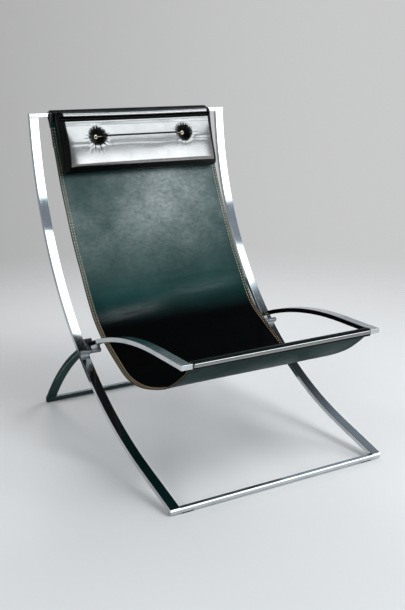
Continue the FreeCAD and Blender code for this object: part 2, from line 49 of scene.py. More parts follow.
# Camera at the photograph's place, taken from a 405 x 610 frame
view = {
    "place": (-1.209, -2.0577, 1.006),
    "tilt": (74.7, 0.0, -30.8),
    "focal": 933.0,            # pixels
    "imageHeight": 610.0,
    "sensor": 36.0,
}
lens = bpy.data.cameras.new("photoCamera")
lens.sensor_fit = "VERTICAL"
lens.sensor_height = view["sensor"]
lens.lens = view["focal"] / view["imageHeight"] * view["sensor"]
camera = bpy.data.objects.new("photoCamera", lens)
camera.location = view["place"]
camera.rotation_euler = Euler([math.radians(a) for a in view["tilt"]])
scene.collection.objects.link(camera)
scene.camera = camera


# Small helpers for nodes
def addNode(tree, kind, inputs=None, **settings):
    node = tree.nodes.new(kind)
    for key, value in settings.items():
        setattr(node, key, value)
    for key, value in (inputs or {}).items():
        node.inputs[key].default_value = value
    return node


def join(tree, source, target):
    tree.links.new(source, target)


def noiseNode(tree, vector, **inputs):
    node = addNode(tree, "ShaderNodeTexNoise", inputs)
    join(tree, vector, node.inputs["Vector"])
    return node


def objectPlace(tree):
    return addNode(tree, "ShaderNodeTexCoord").outputs["Object"]


def ramp(tree, source, low, high, toLow=0.0, toHigh=1.0):
    limits = {"From Min": low, "From Max": high, "To Min": toLow, "To Max": toHigh}
    node = addNode(tree, "ShaderNodeMapRange", limits, interpolation_type="SMOOTHSTEP")
    join(tree, source, node.inputs["Value"])
    return node.outputs["Result"]


def maths(tree, operation, first, second=None):
    node = addNode(tree, "ShaderNodeMath", operation=operation)
    for socket, value in zip(node.inputs, (first, second)):
        if value is None:
            continue
        if isinstance(value, (int, float)):
            socket.default_value = value
        else:
            join(tree, value, socket)
    return node.outputs["Value"]


def times(tree, first, second):
    return maths(tree, "MULTIPLY", first, second)


def tint(tree, share, first, second):
    node = addNode(tree, "ShaderNodeMix", data_type="RGBA")
    for socket, value in ((node.inputs[6], first), (node.inputs[7], second)):
        if isinstance(value, tuple):
            socket.default_value = (*value, 1.0)
        else:
            join(tree, value, socket)
    join(tree, share, node.inputs[0])
    return node.outputs[2]


def newGroup(name, inputs, outputs):
    tree = bpy.data.node_groups.new(name, "ShaderNodeTree")
    for label, kind, default in inputs:
        socket = tree.interface.new_socket(label, in_out="INPUT", socket_type=kind)
        if default is not None:
            socket.default_value = default
    for label, kind in outputs:
        tree.interface.new_socket(label, in_out="OUTPUT", socket_type=kind)
    return tree, addNode(tree, "NodeGroupInput"), addNode(tree, "NodeGroupOutput")


def place(tree, group, **inputs):
    return addNode(tree, "ShaderNodeGroup", inputs, node_tree=group)


floatSocket, vectorSocket = "NodeSocketFloat", "NodeSocketVector"

# Leather grain: pebbles split by fine lines, pores, slow clouds of colour and a fine mottle
grainLook = {
    "wobbleScale": 180.0, "wobble": 0.003, "lineWidth": 0.16, "pebbleShare": 0.65,
    "poreScale": 1500.0, "poreShare": 0.35, "cloudRange": (0.28, 0.72),
    "mottleScale": 120.0, "mottleStretch": (0.6, 1.0, 1.0), "mottleRange": (0.25, 0.75),
}


def makeLeatherGrain():
    tree, start, end = newGroup(
        "leatherGrain",
        [("Vector", vectorSocket, None), ("Pebbles", floatSocket, 620.0), ("Clouds", floatSocket, 9.0)],
        [("Height", floatSocket), ("Clouds", floatSocket), ("Pores", floatSocket), ("Mottle", floatSocket)],
    )
    where = start.outputs["Vector"]
    wobble = noiseNode(tree, where, Scale=grainLook["wobbleScale"], Detail=2.0)
    shift = addNode(tree, "ShaderNodeVectorMath", operation="MULTIPLY_ADD")
    shift.inputs[1].default_value = (grainLook["wobble"],) * 3
    join(tree, wobble.outputs["Color"], shift.inputs[0])
    join(tree, where, shift.inputs[2])
    cells = addNode(tree, "ShaderNodeTexVoronoi", feature="DISTANCE_TO_EDGE")
    join(tree, shift.outputs["Vector"], cells.inputs["Vector"])
    join(tree, start.outputs["Pebbles"], cells.inputs["Scale"])
    lines = ramp(tree, cells.outputs["Distance"], 0.0, grainLook["lineWidth"])
    pores = noiseNode(tree, where, Scale=grainLook["poreScale"], Detail=3.0, Roughness=0.6).outputs["Fac"]
    height = maths(tree, "ADD", times(tree, lines, grainLook["pebbleShare"]),
                   times(tree, pores, grainLook["poreShare"]))
    clouds = noiseNode(tree, where, Detail=9.0, Roughness=0.64, Distortion=0.12)
    join(tree, start.outputs["Clouds"], clouds.inputs["Scale"])
    streaks = addNode(tree, "ShaderNodeMapping", {"Scale": grainLook["mottleStretch"]})
    join(tree, where, streaks.inputs["Vector"])
    mottle = noiseNode(tree, streaks.outputs["Vector"], Scale=grainLook["mottleScale"],
                       Detail=3.0, Roughness=0.55)
    join(tree, height, end.inputs["Height"])
    join(tree, ramp(tree, clouds.outputs["Fac"], *grainLook["cloudRange"]), end.inputs["Clouds"])
    join(tree, pores, end.inputs["Pores"])
    join(tree, ramp(tree, mottle.outputs["Fac"], *grainLook["mottleRange"]), end.inputs["Mottle"])
    return tree


# Edge wear: a mask along edges and corners, broken up by noise
wearLook = {"edgeRange": (0.995, 0.9), "spotRange": (0.35, 0.7)}


def makeEdgeWear():
    tree, start, end = newGroup(
        "edgeWear", [("Radius", floatSocket, 0.002), ("Breakup", floatSocket, 160.0)],
        [("Mask", floatSocket)],
    )
    rounded = addNode(tree, "ShaderNodeBevel", samples=4)
    join(tree, start.outputs["Radius"], rounded.inputs["Radius"])
    plain = addNode(tree, "ShaderNodeNewGeometry")
    dot = addNode(tree, "ShaderNodeVectorMath", operation="DOT_PRODUCT")
    join(tree, rounded.outputs["Normal"], dot.inputs[0])
    join(tree, plain.outputs["Normal"], dot.inputs[1])
    edge = ramp(tree, dot.outputs["Value"], *wearLook["edgeRange"])
    spots = noiseNode(tree, objectPlace(tree), Detail=3.0, Roughness=0.65)
    join(tree, start.outputs["Breakup"], spots.inputs["Scale"])
    mask = times(tree, edge, ramp(tree, spots.outputs["Fac"], *wearLook["spotRange"]))
    join(tree, mask, end.inputs["Mask"])
    return tree


# Handling marks on metal: soft smudges and fine rubbing lines
smudgeLook = {"lineStretch": (6.0, 1.0, 1.0), "smudgeRange": (0.42, 0.72), "lineRange": (0.45, 0.75)}


def makeSmudges():
    tree, start, end = newGroup(
        "smudges", [("Scale", floatSocket, 14.0), ("Hairlines", floatSocket, 260.0)],
        [("Smudge", floatSocket), ("Hairline", floatSocket)],
    )
    where = objectPlace(tree)
    soft = noiseNode(tree, where, Detail=4.0, Roughness=0.55, Distortion=0.8)
    join(tree, start.outputs["Scale"], soft.inputs["Scale"])
    stretch = addNode(tree, "ShaderNodeMapping", {"Scale": smudgeLook["lineStretch"]})
    join(tree, where, stretch.inputs["Vector"])
    fine = noiseNode(tree, stretch.outputs["Vector"], Detail=2.0)
    join(tree, start.outputs["Hairlines"], fine.inputs["Scale"])
    join(tree, ramp(tree, soft.outputs["Fac"], *smudgeLook["smudgeRange"]), end.inputs["Smudge"])
    join(tree, ramp(tree, fine.outputs["Fac"], *smudgeLook["lineRange"]), end.inputs["Hairline"])
    return tree


# Dust: a thin film on what faces up, thicker near the floor
dustLook = {
    "upRange": (0.3, 1.0), "lowRange": (0.5, 0.0, 0.25, 1.0), "specks": 420.0, "speckRange": (0.35, 0.75),
}


def makeDust():
    tree, start, end = newGroup("dust", [("Amount", floatSocket, 0.3)], [("Mask", floatSocket)])
    shape = addNode(tree, "ShaderNodeNewGeometry")
    split = addNode(tree, "ShaderNodeSeparateXYZ")
    join(tree, shape.outputs["Normal"], split.inputs["Vector"])
    up = ramp(tree, split.outputs["Z"], *dustLook["upRange"])
    where = addNode(tree, "ShaderNodeSeparateXYZ")
    join(tree, shape.outputs["Position"], where.inputs["Vector"])
    low = ramp(tree, where.outputs["Z"], *dustLook["lowRange"])
    specks = noiseNode(tree, shape.outputs["Position"], Scale=dustLook["specks"], Detail=3.0, Roughness=0.7)
    film = times(tree, times(tree, up, low), ramp(tree, specks.outputs["Fac"], *dustLook["speckRange"]))
    join(tree, times(tree, film, start.outputs["Amount"]), end.inputs["Mask"])
    return tree


leatherGrain, edgeWear, smudges, dust = makeLeatherGrain(), makeEdgeWear(), makeSmudges(), makeDust()


def newMaterial(name, **plain):
    material = bpy.data.materials.new(name)
    material.use_nodes = True
    tree = material.node_tree
    shader = tree.nodes["Principled BSDF"]
    for key, value in plain.items():
        shader.inputs[key].default_value = value
    return material, tree, shader


def bump(tree, height, shader, distance, strength):
    node = addNode(tree, "ShaderNodeBump", {"Strength": strength, "Distance": distance})
    join(tree, height, node.inputs["Height"])
    join(tree, node.outputs["Normal"], shader.inputs["Normal"])


# Chrome and the other metals: one recipe with its own values
metals = {
    "polishedChrome": {
        "clear": (0.60, 0.625, 0.64), "marked": (0.47, 0.52, 0.56), "worn": (0.7, 0.71, 0.72),
        "rough": (0.05, 0.11), "smudges": 12.0, "hairlines": 240.0,
    },
    "hingeSatin": {
        "clear": (0.2, 0.21, 0.22), "marked": (0.13, 0.14, 0.15), "worn": (0.45, 0.46, 0.47),
        "rough": (0.3, 0.42), "smudges": 70.0, "hairlines": 900.0,
    },
    "turnedSteel": {
        "clear": (0.56, 0.57, 0.58), "marked": (0.42, 0.43, 0.45), "worn": (0.7, 0.7, 0.7),
        "rough": (0.22, 0.38), "smudges": 60.0, "hairlines": 900.0,
    },
    "palePlatedBrass": {
        "clear": (0.8, 0.73, 0.58), "marked": (0.6, 0.5, 0.35), "worn": (0.88, 0.83, 0.7),
        "rough": (0.2, 0.34), "smudges": 220.0, "hairlines": 1800.0,
    },
}
metalAge = {
    "wearRadius": 0.0016, "wearBreakup": 220.0, "wearShare": 0.5, "hairlineRough": 0.02,
    "dust": 0.22, "dustColour": (0.55, 0.55, 0.53), "dustRough": 0.3, "relief": 0.00001, "reliefShare": 0.1,
}


def makeMetal(name, look):
    material, tree, shader = newMaterial(name, Metallic=1.0)
    marks = place(tree, smudges, Scale=look["smudges"], Hairlines=look["hairlines"])
    worn = place(tree, edgeWear, Radius=metalAge["wearRadius"], Breakup=metalAge["wearBreakup"])
    film = place(tree, dust, Amount=metalAge["dust"])
    colour = tint(tree, marks.outputs["Smudge"], look["clear"], look["marked"])
    colour = tint(tree, times(tree, worn.outputs["Mask"], metalAge["wearShare"]), colour, look["worn"])
    colour = tint(tree, film.outputs["Mask"], colour, metalAge["dustColour"])
    join(tree, colour, shader.inputs["Base Color"])
    bright, dull = look["rough"]
    level = maths(tree, "ADD", times(tree, marks.outputs["Smudge"], dull - bright), bright)
    for mask, share in ((marks.outputs["Hairline"], "hairlineRough"), (film.outputs["Mask"], "dustRough")):
        level = maths(tree, "ADD", level, times(tree, mask, metalAge[share]))
    join(tree, level, shader.inputs["Roughness"])
    bump(tree, marks.outputs["Smudge"], shader, metalAge["relief"], metalAge["reliefShare"])
    return material


chrome, satin, steel, brass = [makeMetal(name, look) for name, look in metals.items()]

# Moulded rubber and plastic
mouldings = {
    "mattRubber": {
        "colour": (0.016, 0.016, 0.017), "faded": (0.06, 0.06, 0.06), "rough": (0.6, 0.85),
        "grain": 1400.0, "dust": 0.35,
    },
    "blackPlastic": {
        "colour": (0.02, 0.02, 0.022), "faded": (0.07, 0.07, 0.075), "rough": (0.32, 0.5),
        "grain": 2200.0, "dust": 0.2,
    },
}
mouldedAge = {
    "wearRadius": 0.0012, "wearBreakup": 380.0, "dustColour": (0.35, 0.34, 0.32),
    "grainRange": (0.3, 0.7), "relief": 0.00012, "reliefShare": 0.5,
}


def makeMoulded(name, look):
    material, tree, shader = newMaterial(name)
    fine = noiseNode(tree, objectPlace(tree), Scale=look["grain"], Detail=3.0).outputs["Fac"]
    worn = place(tree, edgeWear, Radius=mouldedAge["wearRadius"], Breakup=mouldedAge["wearBreakup"])
    film = place(tree, dust, Amount=look["dust"])
    base = tint(tree, worn.outputs["Mask"], look["colour"], look["faded"])
    base = tint(tree, film.outputs["Mask"], base, mouldedAge["dustColour"])
    join(tree, base, shader.inputs["Base Color"])
    join(tree, ramp(tree, fine, *mouldedAge["grainRange"], *look["rough"]), shader.inputs["Roughness"])
    bump(tree, fine, shader, mouldedAge["relief"], mouldedAge["reliefShare"])
    return material


rubber, plastic = [makeMoulded(name, look) for name, look in mouldings.items()]

# Black leather: the sling is waxed and dry, the headrest is glossy; darker copies paint shade on the front
# loop and the headrest panel, and a glossier copy paints a highlight on the loop's corner
leathers = {
    "slingLeather": {
        "deep": (0.006, 0.032, 0.031), "bloom": (0.011, 0.050, 0.048), "worn": (0.02, 0.03, 0.029),
        # seat: the painted shade colour that the seat, and in part the underside, is darkened to
        "seat": (0.0006, 0.0007, 0.0009), "rough": (0.34, 0.44), "waxAndPaintedSheen": (0.70, 1.0),
        "clouds": 6.0, "grainDepth": 0.00008, "mottle": 0.68,
        "plain": {"Specular IOR Level": 0.02, "Coat Roughness": 0.27, "Coat IOR": 2.45},
    },
    # painted shade: a darker, duller copy of the sling leather for the front loop
    "slingLoopShadedLeather": {
        "deep": (0.002, 0.005, 0.0045), "bloom": (0.003, 0.008, 0.007), "worn": (0.012, 0.014, 0.013),
        "rough": (0.26, 0.34), "waxAndPaintedSheen": (0.0, 0.04), "clouds": 12.0, "grainDepth": 0.00006,
        "plain": {"Coat Roughness": 0.2, "Specular IOR Level": 0.03},
    },
    # painted highlight: a glossier copy of the sling leather for the loop's corner rows
    "slingPaintedHighlightEdge": {
        "deep": (0.0014, 0.002, 0.002), "bloom": (0.0024, 0.0034, 0.0034), "worn": (0.01, 0.01, 0.01),
        "rough": (0.1, 0.14), "waxAndPaintedSheen": (0.9, 1.0), "clouds": 12.0, "grainDepth": 0.00002,
        "plain": {"Coat Roughness": 0.1, "Coat IOR": 1.9, "Specular IOR Level": 1.0, "IOR": 1.9},
    },
    "headrestLeather": {
        "deep": (0.0014, 0.0018, 0.0018), "bloom": (0.0026, 0.0032, 0.0032), "worn": (0.008, 0.008, 0.008),
        "rough": (0.17, 0.23), "waxAndPaintedSheen": (0.8, 1.0), "clouds": 14.0, "grainDepth": 0.00003,
        "plain": {"Coat Roughness": 0.13, "Coat IOR": 1.75, "Specular IOR Level": 1.0, "IOR": 2.05,
                  "Specular Tint": (1.0, 0.965, 0.95, 1.0)},
    },
    # the side wall's leather, also laid on the panel as painted shade
    "headrestSideAndShadeLeather": {
        "deep": (0.0008, 0.001, 0.001), "bloom": (0.0016, 0.002, 0.002), "worn": (0.008, 0.008, 0.008),
        "rough": (0.3, 0.4), "waxAndPaintedSheen": (0.0, 0.06), "clouds": 16.0, "grainDepth": 0.00008,
        "plain": {"Coat Roughness": 0.25, "Specular IOR Level": 0.15},
    },
    "hangerLeather": {
        "deep": (0.0008, 0.001, 0.001), "bloom": (0.0018, 0.0024, 0.0024), "worn": (0.008, 0.008, 0.008),
        "rough": (0.3, 0.4), "waxAndPaintedSheen": (0.0, 0.08), "clouds": 16.0, "grainDepth": 0.00008,
        "plain": {"Coat Roughness": 0.25, "Specular IOR Level": 0.15},
    },
}
leatherAge = {
    "wearRadius": 0.003, "wearBreakup": 90.0, "wearShare": 0.6, "wearShine": 0.1,
    "dust": 0.015, "dustColour": (0.3, 0.3, 0.29), "poreRough": 0.06, "mottle": 0.9, "reliefShare": 0.6,
}


def makeLeather(name, look):
    material, tree, shader = newMaterial(name, **look["plain"])
    grain = place(tree, leatherGrain, Clouds=look["clouds"])
    join(tree, objectPlace(tree), grain.inputs["Vector"])
    worn = place(tree, edgeWear, Radius=leatherAge["wearRadius"], Breakup=leatherAge["wearBreakup"])
    film = place(tree, dust, Amount=leatherAge["dust"])
    clouds = grain.outputs["Clouds"]
    mottle = ramp(tree, grain.outputs["Mottle"], 0.0, 1.0, look.get("mottle", leatherAge["mottle"]), 1.0)
    coat = times(tree, ramp(tree, clouds, 0.0, 1.0, *look["waxAndPaintedSheen"]), mottle)
    colour = tint(tree, clouds, look["deep"], look["bloom"])
    # Painted sheen and painted shade: the sling's coat follows its painted sheen attribute, and its colour
    # goes to the seat's black where its painted shade attribute is low
    if "seat" in look:
        paintedSheen = addNode(tree, "ShaderNodeAttribute", attribute_name="waxAndPaintedSheen")
        faded = addNode(tree, "ShaderNodeAttribute", attribute_name="paintedShadeTone")
        coat = times(tree, coat, paintedSheen.outputs["Fac"])
        colour = tint(tree, faded.outputs["Fac"], look["seat"], colour)
    colour = tint(tree, times(tree, worn.outputs["Mask"], leatherAge["wearShare"]), colour, look["worn"])
    colour = tint(tree, film.outputs["Mask"], colour, leatherAge["dustColour"])
    join(tree, colour, shader.inputs["Base Color"])
    level = ramp(tree, clouds, 0.0, 1.0, *reversed(look["rough"]))
    level = maths(tree, "ADD", level, times(tree, grain.outputs["Pores"], leatherAge["poreRough"]))
    level = maths(tree, "SUBTRACT", level, times(tree, worn.outputs["Mask"], leatherAge["wearShine"]))
    join(tree, level, shader.inputs["Roughness"])
    join(tree, coat, shader.inputs["Coat Weight"])
    bump(tree, grain.outputs["Height"], shader, look["grainDepth"], leatherAge["reliefShare"])
    return material


slingLeather, shadedLoopLeather, highlightLeather, pillowLeather, gussetAndShadeLeather, hangerLeather = [
    makeLeather(name, look) for name, look in leathers.items()]

# Raw cut edge of the hide, waxed thread, and the lace, painted dark along its middle as shade from the crease
# it lies in, and pale at its ends by the eyelets
fibres = {
    "rawHideEdge": {
        "colour": (0.06, 0.032, 0.018), "other": (0.14, 0.08, 0.045), "rough": (0.7, 0.9),
        "scale": 1600.0, "depth": 0.0002,
    },
    "tanThread": {
        "colour": (0.78, 0.57, 0.37), "other": (0.92, 0.75, 0.53), "rough": (0.5, 0.75),
        "scale": 2600.0, "depth": 0.0001,
    },
    "darkThread": {
        "colour": (0.012, 0.011, 0.01), "other": (0.03, 0.027, 0.024), "rough": (0.5, 0.75),
        "scale": 2600.0, "depth": 0.0001,
    },
    # painted shade: the lace is dark where it lies in the crease, pale near the eyelets
    "laceHide": {
        "colour": (0.035, 0.026, 0.019), "other": (0.07, 0.052, 0.037), "rough": (0.5, 0.7),
        "scale": 1800.0, "depth": 0.00012, "paleFrom": (0.112, 0.122), "pale": (0.46, 0.38, 0.28),
    },
}
fibreAge = {"dust": 0.1, "dustColour": (0.4, 0.38, 0.35), "range": (0.3, 0.7), "reliefShare": 0.7}


def makeFibre(name, look):
    material, tree, shader = newMaterial(name)
    where = objectPlace(tree)
    strands = noiseNode(tree, where, Scale=look["scale"], Detail=4.0, Roughness=0.7).outputs["Fac"]
    film = place(tree, dust, Amount=fibreAge["dust"])
    base = tint(tree, ramp(tree, strands, *fibreAge["range"]), look["colour"], look["other"])
    base = tint(tree, film.outputs["Mask"], base, fibreAge["dustColour"])
    if "pale" in look:
        side = addNode(tree, "ShaderNodeSeparateXYZ")
        join(tree, where, side.inputs["Vector"])
        reach = maths(tree, "ABSOLUTE", side.outputs["X"])
        base = tint(tree, ramp(tree, reach, *look["paleFrom"]), base, look["pale"])
    join(tree, base, shader.inputs["Base Color"])
    join(tree, ramp(tree, strands, *fibreAge["range"], *look["rough"]), shader.inputs["Roughness"])
    bump(tree, strands, shader, look["depth"], fibreAge["reliefShare"])
    return material


rawEdge, tanThread, darkThread, laceHide = [makeFibre(name, look) for name, look in fibres.items()]
print("materials made")

finishes = [
    (chrome, ["left_back_bar", "right_back_bar", "top_rail", "front_floor_rail",
              "left_seat_bar", "right_seat_bar", "seat_front_rail", "rear_floor_rail"]),
    (satin, ["left_back_knuckle", "right_back_knuckle", "left_seat_knuckle", "right_seat_knuckle"]),
    (steel, ["left_hinge_pin", "right_hinge_pin", "left_stop_stud", "right_stop_stud"]),
    (plastic, ["left_hinge_washer", "right_hinge_washer"]),
    (rubber, ["left_stop_buffer", "right_stop_buffer", "front_glides", "rear_glides"]),
]
for finish, nodeNames in finishes:
    for nodeName in nodeNames:
        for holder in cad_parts[nodeName].material_slots:
            holder.material = finish


# Curves in the side plane: y to the back, z up
def heading(angle):
    return np.array((math.cos(math.radians(angle)), math.sin(math.radians(angle))))


def arcPoints(start, fromAngle, toAngle, radius, step):
    centre = start + heading(fromAngle + 90) * radius
    sweep = toAngle - fromAngle
    count = max(2, int(abs(math.radians(sweep)) * radius / step))
    return [centre - heading(fromAngle + sweep * i / count + 90) * radius for i in range(count + 1)]


def roundCorners(points, radii, step):
    made = [points[0]]
    for before, at, after, radius in zip(points, points[1:], points[2:], radii):
        inward = (before - at) / np.linalg.norm(before - at)
        outward = (after - at) / np.linalg.norm(after - at)
        half = math.acos(max(-1.0, min(1.0, float(inward @ outward)))) / 2
        reach = radius / math.tan(half)
        first, last = at + inward * reach, at + outward * reach
        middle = inward + outward
        centre = at + middle / np.linalg.norm(middle) * radius / math.sin(half)
        count = max(3, int((math.pi - 2 * half) * radius / step))
        for i in range(count + 1):
            share = i / count
            spoke = (first - centre) * (1 - share) + (last - centre) * share
            made.append(centre + spoke / np.linalg.norm(spoke) * radius)
    made.append(points[-1])
    return made


def evenly(points, step):
    line = np.array(points)
    runs = np.r_[0, np.cumsum(np.linalg.norm(np.diff(line, axis=0), axis=1))]
    keep = np.r_[True, np.diff(runs) > 1e-7]
    line, runs = line[keep], runs[keep]
    at = np.linspace(0, runs[-1], int(runs[-1] / step) + 1)
    return np.c_[np.interp(at, runs, line[:, 0]), np.interp(at, runs, line[:, 1])], at


def leftNormals(line):
    along = np.gradient(line, axis=0)
    along /= np.linalg.norm(along, axis=1)[:, None]
    return np.c_[-along[:, 1], along[:, 0]]


def newPiece(name, verts, faces, materials):
    mesh = bpy.data.meshes.new(name)
    mesh.from_pydata([tuple(v) for v in verts], [], faces)
    mesh.update()
    for material in materials:
        mesh.materials.append(material)
    mesh.polygons.foreach_set("use_smooth", [True] * len(mesh.polygons))
    piece = bpy.data.objects.new(name, mesh)
    scene.collection.objects.link(piece)
    return piece


# A thick strip of leather along a side line, its long edges rounded and left raw
burnish = 0.45     # share of the thickness that is rubbed away at a cut edge


def leatherStrip(name, line, halfWidth, thick, columns, relief, hides, pick=None, masks=None):
    normals = leftNormals(line)
    rows, count = len(line), len(columns)
    upper = np.zeros((rows, count, 3))
    lower = np.zeros((rows, count, 3))
    for j, x in enumerate(columns):
        inset = halfWidth - abs(x)
        thin = 1 - burnish * max(0.0, 1 - inset / (thick * 0.5)) ** 2
        for i in range(rows):
            lift = relief(i, x)
            for side, grid in ((1, upper), (-1, lower)):
                y, z = line[i] + normals[i] * (lift + side * thick / 2 * thin)
                grid[i, j] = (x, y, z)
    verts = np.r_[upper.reshape(-1, 3), lower.reshape(-1, 3)]
    below = rows * count
    faces, edges, marks = [], [], []
    for i in range(rows - 1):
        hideHere = pick(i) if pick else 0
        for j in range(count - 1):
            a, b = i * count + j, i * count + j + 1
            c, d = a + count, b + count
            faces.append((a, b, d, c))
            faces.append((below + a, below + c, below + d, below + b))
            marks += [hideHere, hideHere]
        left, right = i * count, i * count + count - 1
        edges.append((left, left + count, below + left + count, below + left))
        edges.append((right, below + right, below + right + count, right + count))
    for j in range(count - 1):
        first, last = j, (rows - 1) * count + j
        edges.append((first, below + first, below + first + 1, first + 1))
        edges.append((last, last + 1, below + last + 1, below + last))
    raw = len(hides)
    marks += [raw] * len(edges)
    piece = newPiece(name, verts, faces + edges, hides + [rawEdge])
    piece.data.polygons.foreach_set("material_index", marks)
    piece.data.polygons.foreach_set("use_smooth", [m != raw for m in marks])
    for label, value in (masks or {}).items():
        painted = [value(i, x, up) for up in (True, False) for i in range(rows) for x in columns]
        piece.data.attributes.new(label, "FLOAT", "POINT").data.foreach_set("value", painted)
    return piece, upper, lower


# Stitches: small plump capsules pressed into the leather, from (middle, along, up)
stitch = {
    "rings": 5, "spokes": 6, "length": 0.0058, "width": 0.0018, "pitch": 0.0084,
    "blunt": 0.12, "sink": 0.35, "flat": 0.75,
}


def stitchRow(name, places, threads, picks=None):
    rings, spokes, length, width = (stitch[key] for key in ("rings", "spokes", "length", "width"))
    verts, faces = [], []
    for middle, along, up in places:
        side = np.cross(along, up)
        first = len(verts)
        for r in range(rings):
            t = r / (rings - 1) * 2 - 1
            fat = width / 2 * math.sqrt(max(stitch["blunt"], 1 - t ** 4))
            centre = middle + along * (t * length / 2) - up * (stitch["sink"] * width * t ** 4)
            for k in range(spokes):
                turn = 2 * math.pi * k / spokes
                across, raised = fat * math.cos(turn), fat * stitch["flat"] * math.sin(turn)
                verts.append(centre + side * across + up * raised)
        for r in range(rings - 1):
            for k in range(spokes):
                a, b = first + r * spokes + k, first + r * spokes + (k + 1) % spokes
                faces.append((a + spokes, b + spokes, b, a))
        faces.append(tuple(first + k for k in range(spokes)))
        faces.append(tuple(first + (rings - 1) * spokes + k for k in reversed(range(spokes))))
    piece = newPiece(name, verts, faces, threads)
    if picks:
        each = len(faces) // len(places)
        piece.data.polygons.foreach_set("material_index", [p for p in picks for _ in range(each)])
    return piece


# Sling: hem, loop round the seat's front rail, seat, hip, back, loop round the top rail, hem
sling = {
    "halfWidth": 0.248, "thick": 0.0035,
    "start": (-0.3947, 0.33745), "startAngle": -45.03,
    "frontRadius": 0.421, "seatRadius": 0.130, "flatAngle": 27.0, "flatRun": 0.106,
    "hipRadius": 0.190, "hipAngle": 54.02, "backRadius": 1.670, "topAngle": 73.0,
    "frontRail": (-0.4007, 0.3455), "topRail": (0.3698, 0.8350),
    "loopHalf": 0.00805, "loopCorner": 0.0046, "hem": 0.026, "hemLift": 0.0036,
    "hemCorner": 0.004, "startCorner": 0.003, "topCorner": 0.006, "topEase": 0.012,
    "leaveTop": 0.016, "leadIn": 0.004, "topFront": 0.6, "topBack": 0.8, "backTurn": 0.014,
    "bodyGap": 0.021, "arcStep": 0.001, "cornerStep": 0.0006, "step": 0.0026, "joinAt": 3,
    "topFrom": 0.808,                                  # height where the back ends and the top loop starts
    "rowInsets": (0.0042, 0.0108), "hemRow": 0.008, "rowEnds": 6,
    "insets": (0.0, 0.0006, 0.0015, 0.0028, 0.0042, 0.0056, 0.0074, 0.0092, 0.0108, 0.0124, 0.0144,
               0.018, 0.024, 0.032),
    "middle": (0.208, 61), "highlightAngles": (-1, 52),
}


def slingLine(spec):
    step = spec["arcStep"]
    begin = np.array(spec["start"])
    path = arcPoints(begin, spec["startAngle"], 0, spec["frontRadius"], step)
    path += arcPoints(path[-1], 0, spec["flatAngle"], spec["seatRadius"], step)[1:]
    path.append(path[-1] + heading(spec["flatAngle"]) * spec["flatRun"])
    path += arcPoints(path[-1], spec["flatAngle"], spec["hipAngle"], spec["hipRadius"], step)[1:]
    path += arcPoints(path[-1], spec["hipAngle"], spec["topAngle"], spec["backRadius"], step)[1:]
    half, corner, topCorner = spec["loopHalf"], spec["loopCorner"], spec["topCorner"]
    fall, lift = heading(spec["startAngle"]), heading(spec["startAngle"] + 90)
    y, z = spec["frontRail"]
    hemEnd = begin + fall * spec["hem"] + lift * spec["hemLift"]
    hemTurn = begin + lift * spec["hemLift"]
    hemTurn = hemTurn + fall * ((y + half - hemTurn[0]) / fall[0])
    front = [hemEnd, hemTurn, np.array((y + half, z + half)), np.array((y - half, z + half)),
             np.array((y - half, z - half)), begin, path[spec["joinAt"]]]
    radii = (spec["hemCorner"], corner, corner, corner, spec["startCorner"])
    front = roundCorners(front, radii, spec["cornerStep"])
    y, z = spec["topRail"]
    rise, behind = heading(spec["topAngle"]), -heading(spec["topAngle"] + 90)
    leave = path[-1] - rise * spec["leaveTop"]
    backTurn = path[-1] + behind * spec["hemLift"]
    tail = backTurn - rise * spec["hem"]
    turn = backTurn - rise * spec["backTurn"]
    top = [leave - rise * spec["leadIn"], leave, np.array((y - half, z - half * spec["topFront"])),
           np.array((y - half, z + half)), np.array((y + half, z + half)),
           np.array((y + half, z - half * spec["topBack"])), turn, tail]
    radii = (spec["topEase"], topCorner, corner, corner, topCorner, topCorner)
    top = roundCorners(top, radii, spec["cornerStep"])
    body = [p for p in path[spec["joinAt"] + 1:] if np.linalg.norm(p - path[-1]) > spec["bodyGap"]]
    return evenly(front + body + top, spec["step"])


slingPath, slingRun = slingLine(sling)
slingNormals = leftNormals(slingPath)
frontEnd = int(np.argmin(np.linalg.norm(slingPath - np.array(sling["start"]), axis=1)))
topStart = int(np.argmax(slingPath[:, 1] > sling["topFrom"]))
runFromRail = slingRun - slingRun[frontEnd]

# Relief of the sling: slow swells, creases where the sitter's weight bends it, slack edges, stitch grooves
slingForm = {
    "plainRows": 4, "fadeRows": 30, "edgeFade": 0.03,
    "swells": ((0.0011, 7, 6, 2.0), (0.0004, 22, 26, 7.0)),     # height, scale across and along, seed
    "creases": (     # run from the rail, depth, width, waver, seed
        (0.548, 0.0007, 0.0036, 0.010, 3.1), (0.562, 0.0011, 0.0040, 0.012, 7.7),
        (0.581, 0.0012, 0.0044, 0.014, 1.3), (0.597, 0.0008, 0.0040, 0.012, 5.9),
        (0.618, 0.0009, 0.0056, 0.018, 9.2), (0.644, 0.0006, 0.0066, 0.020, 2.4),
        (0.676, 0.0004, 0.0085, 0.020, 6.6), (0.480, 0.0005, 0.0060, 0.014, 4.5),
        (0.385, 0.0004, 0.0070, 0.014, 8.1),
    ),
    "waverScale": 9, "reachScale": 8, "reachBase": 0.45, "reachSwing": 1.3, "edgeShare": 0.35,
    "slack": 0.0009, "slackWaves": 38, "slackShift": 2.0, "groove": 0.00028, "grooveWidth": 0.0012,
}


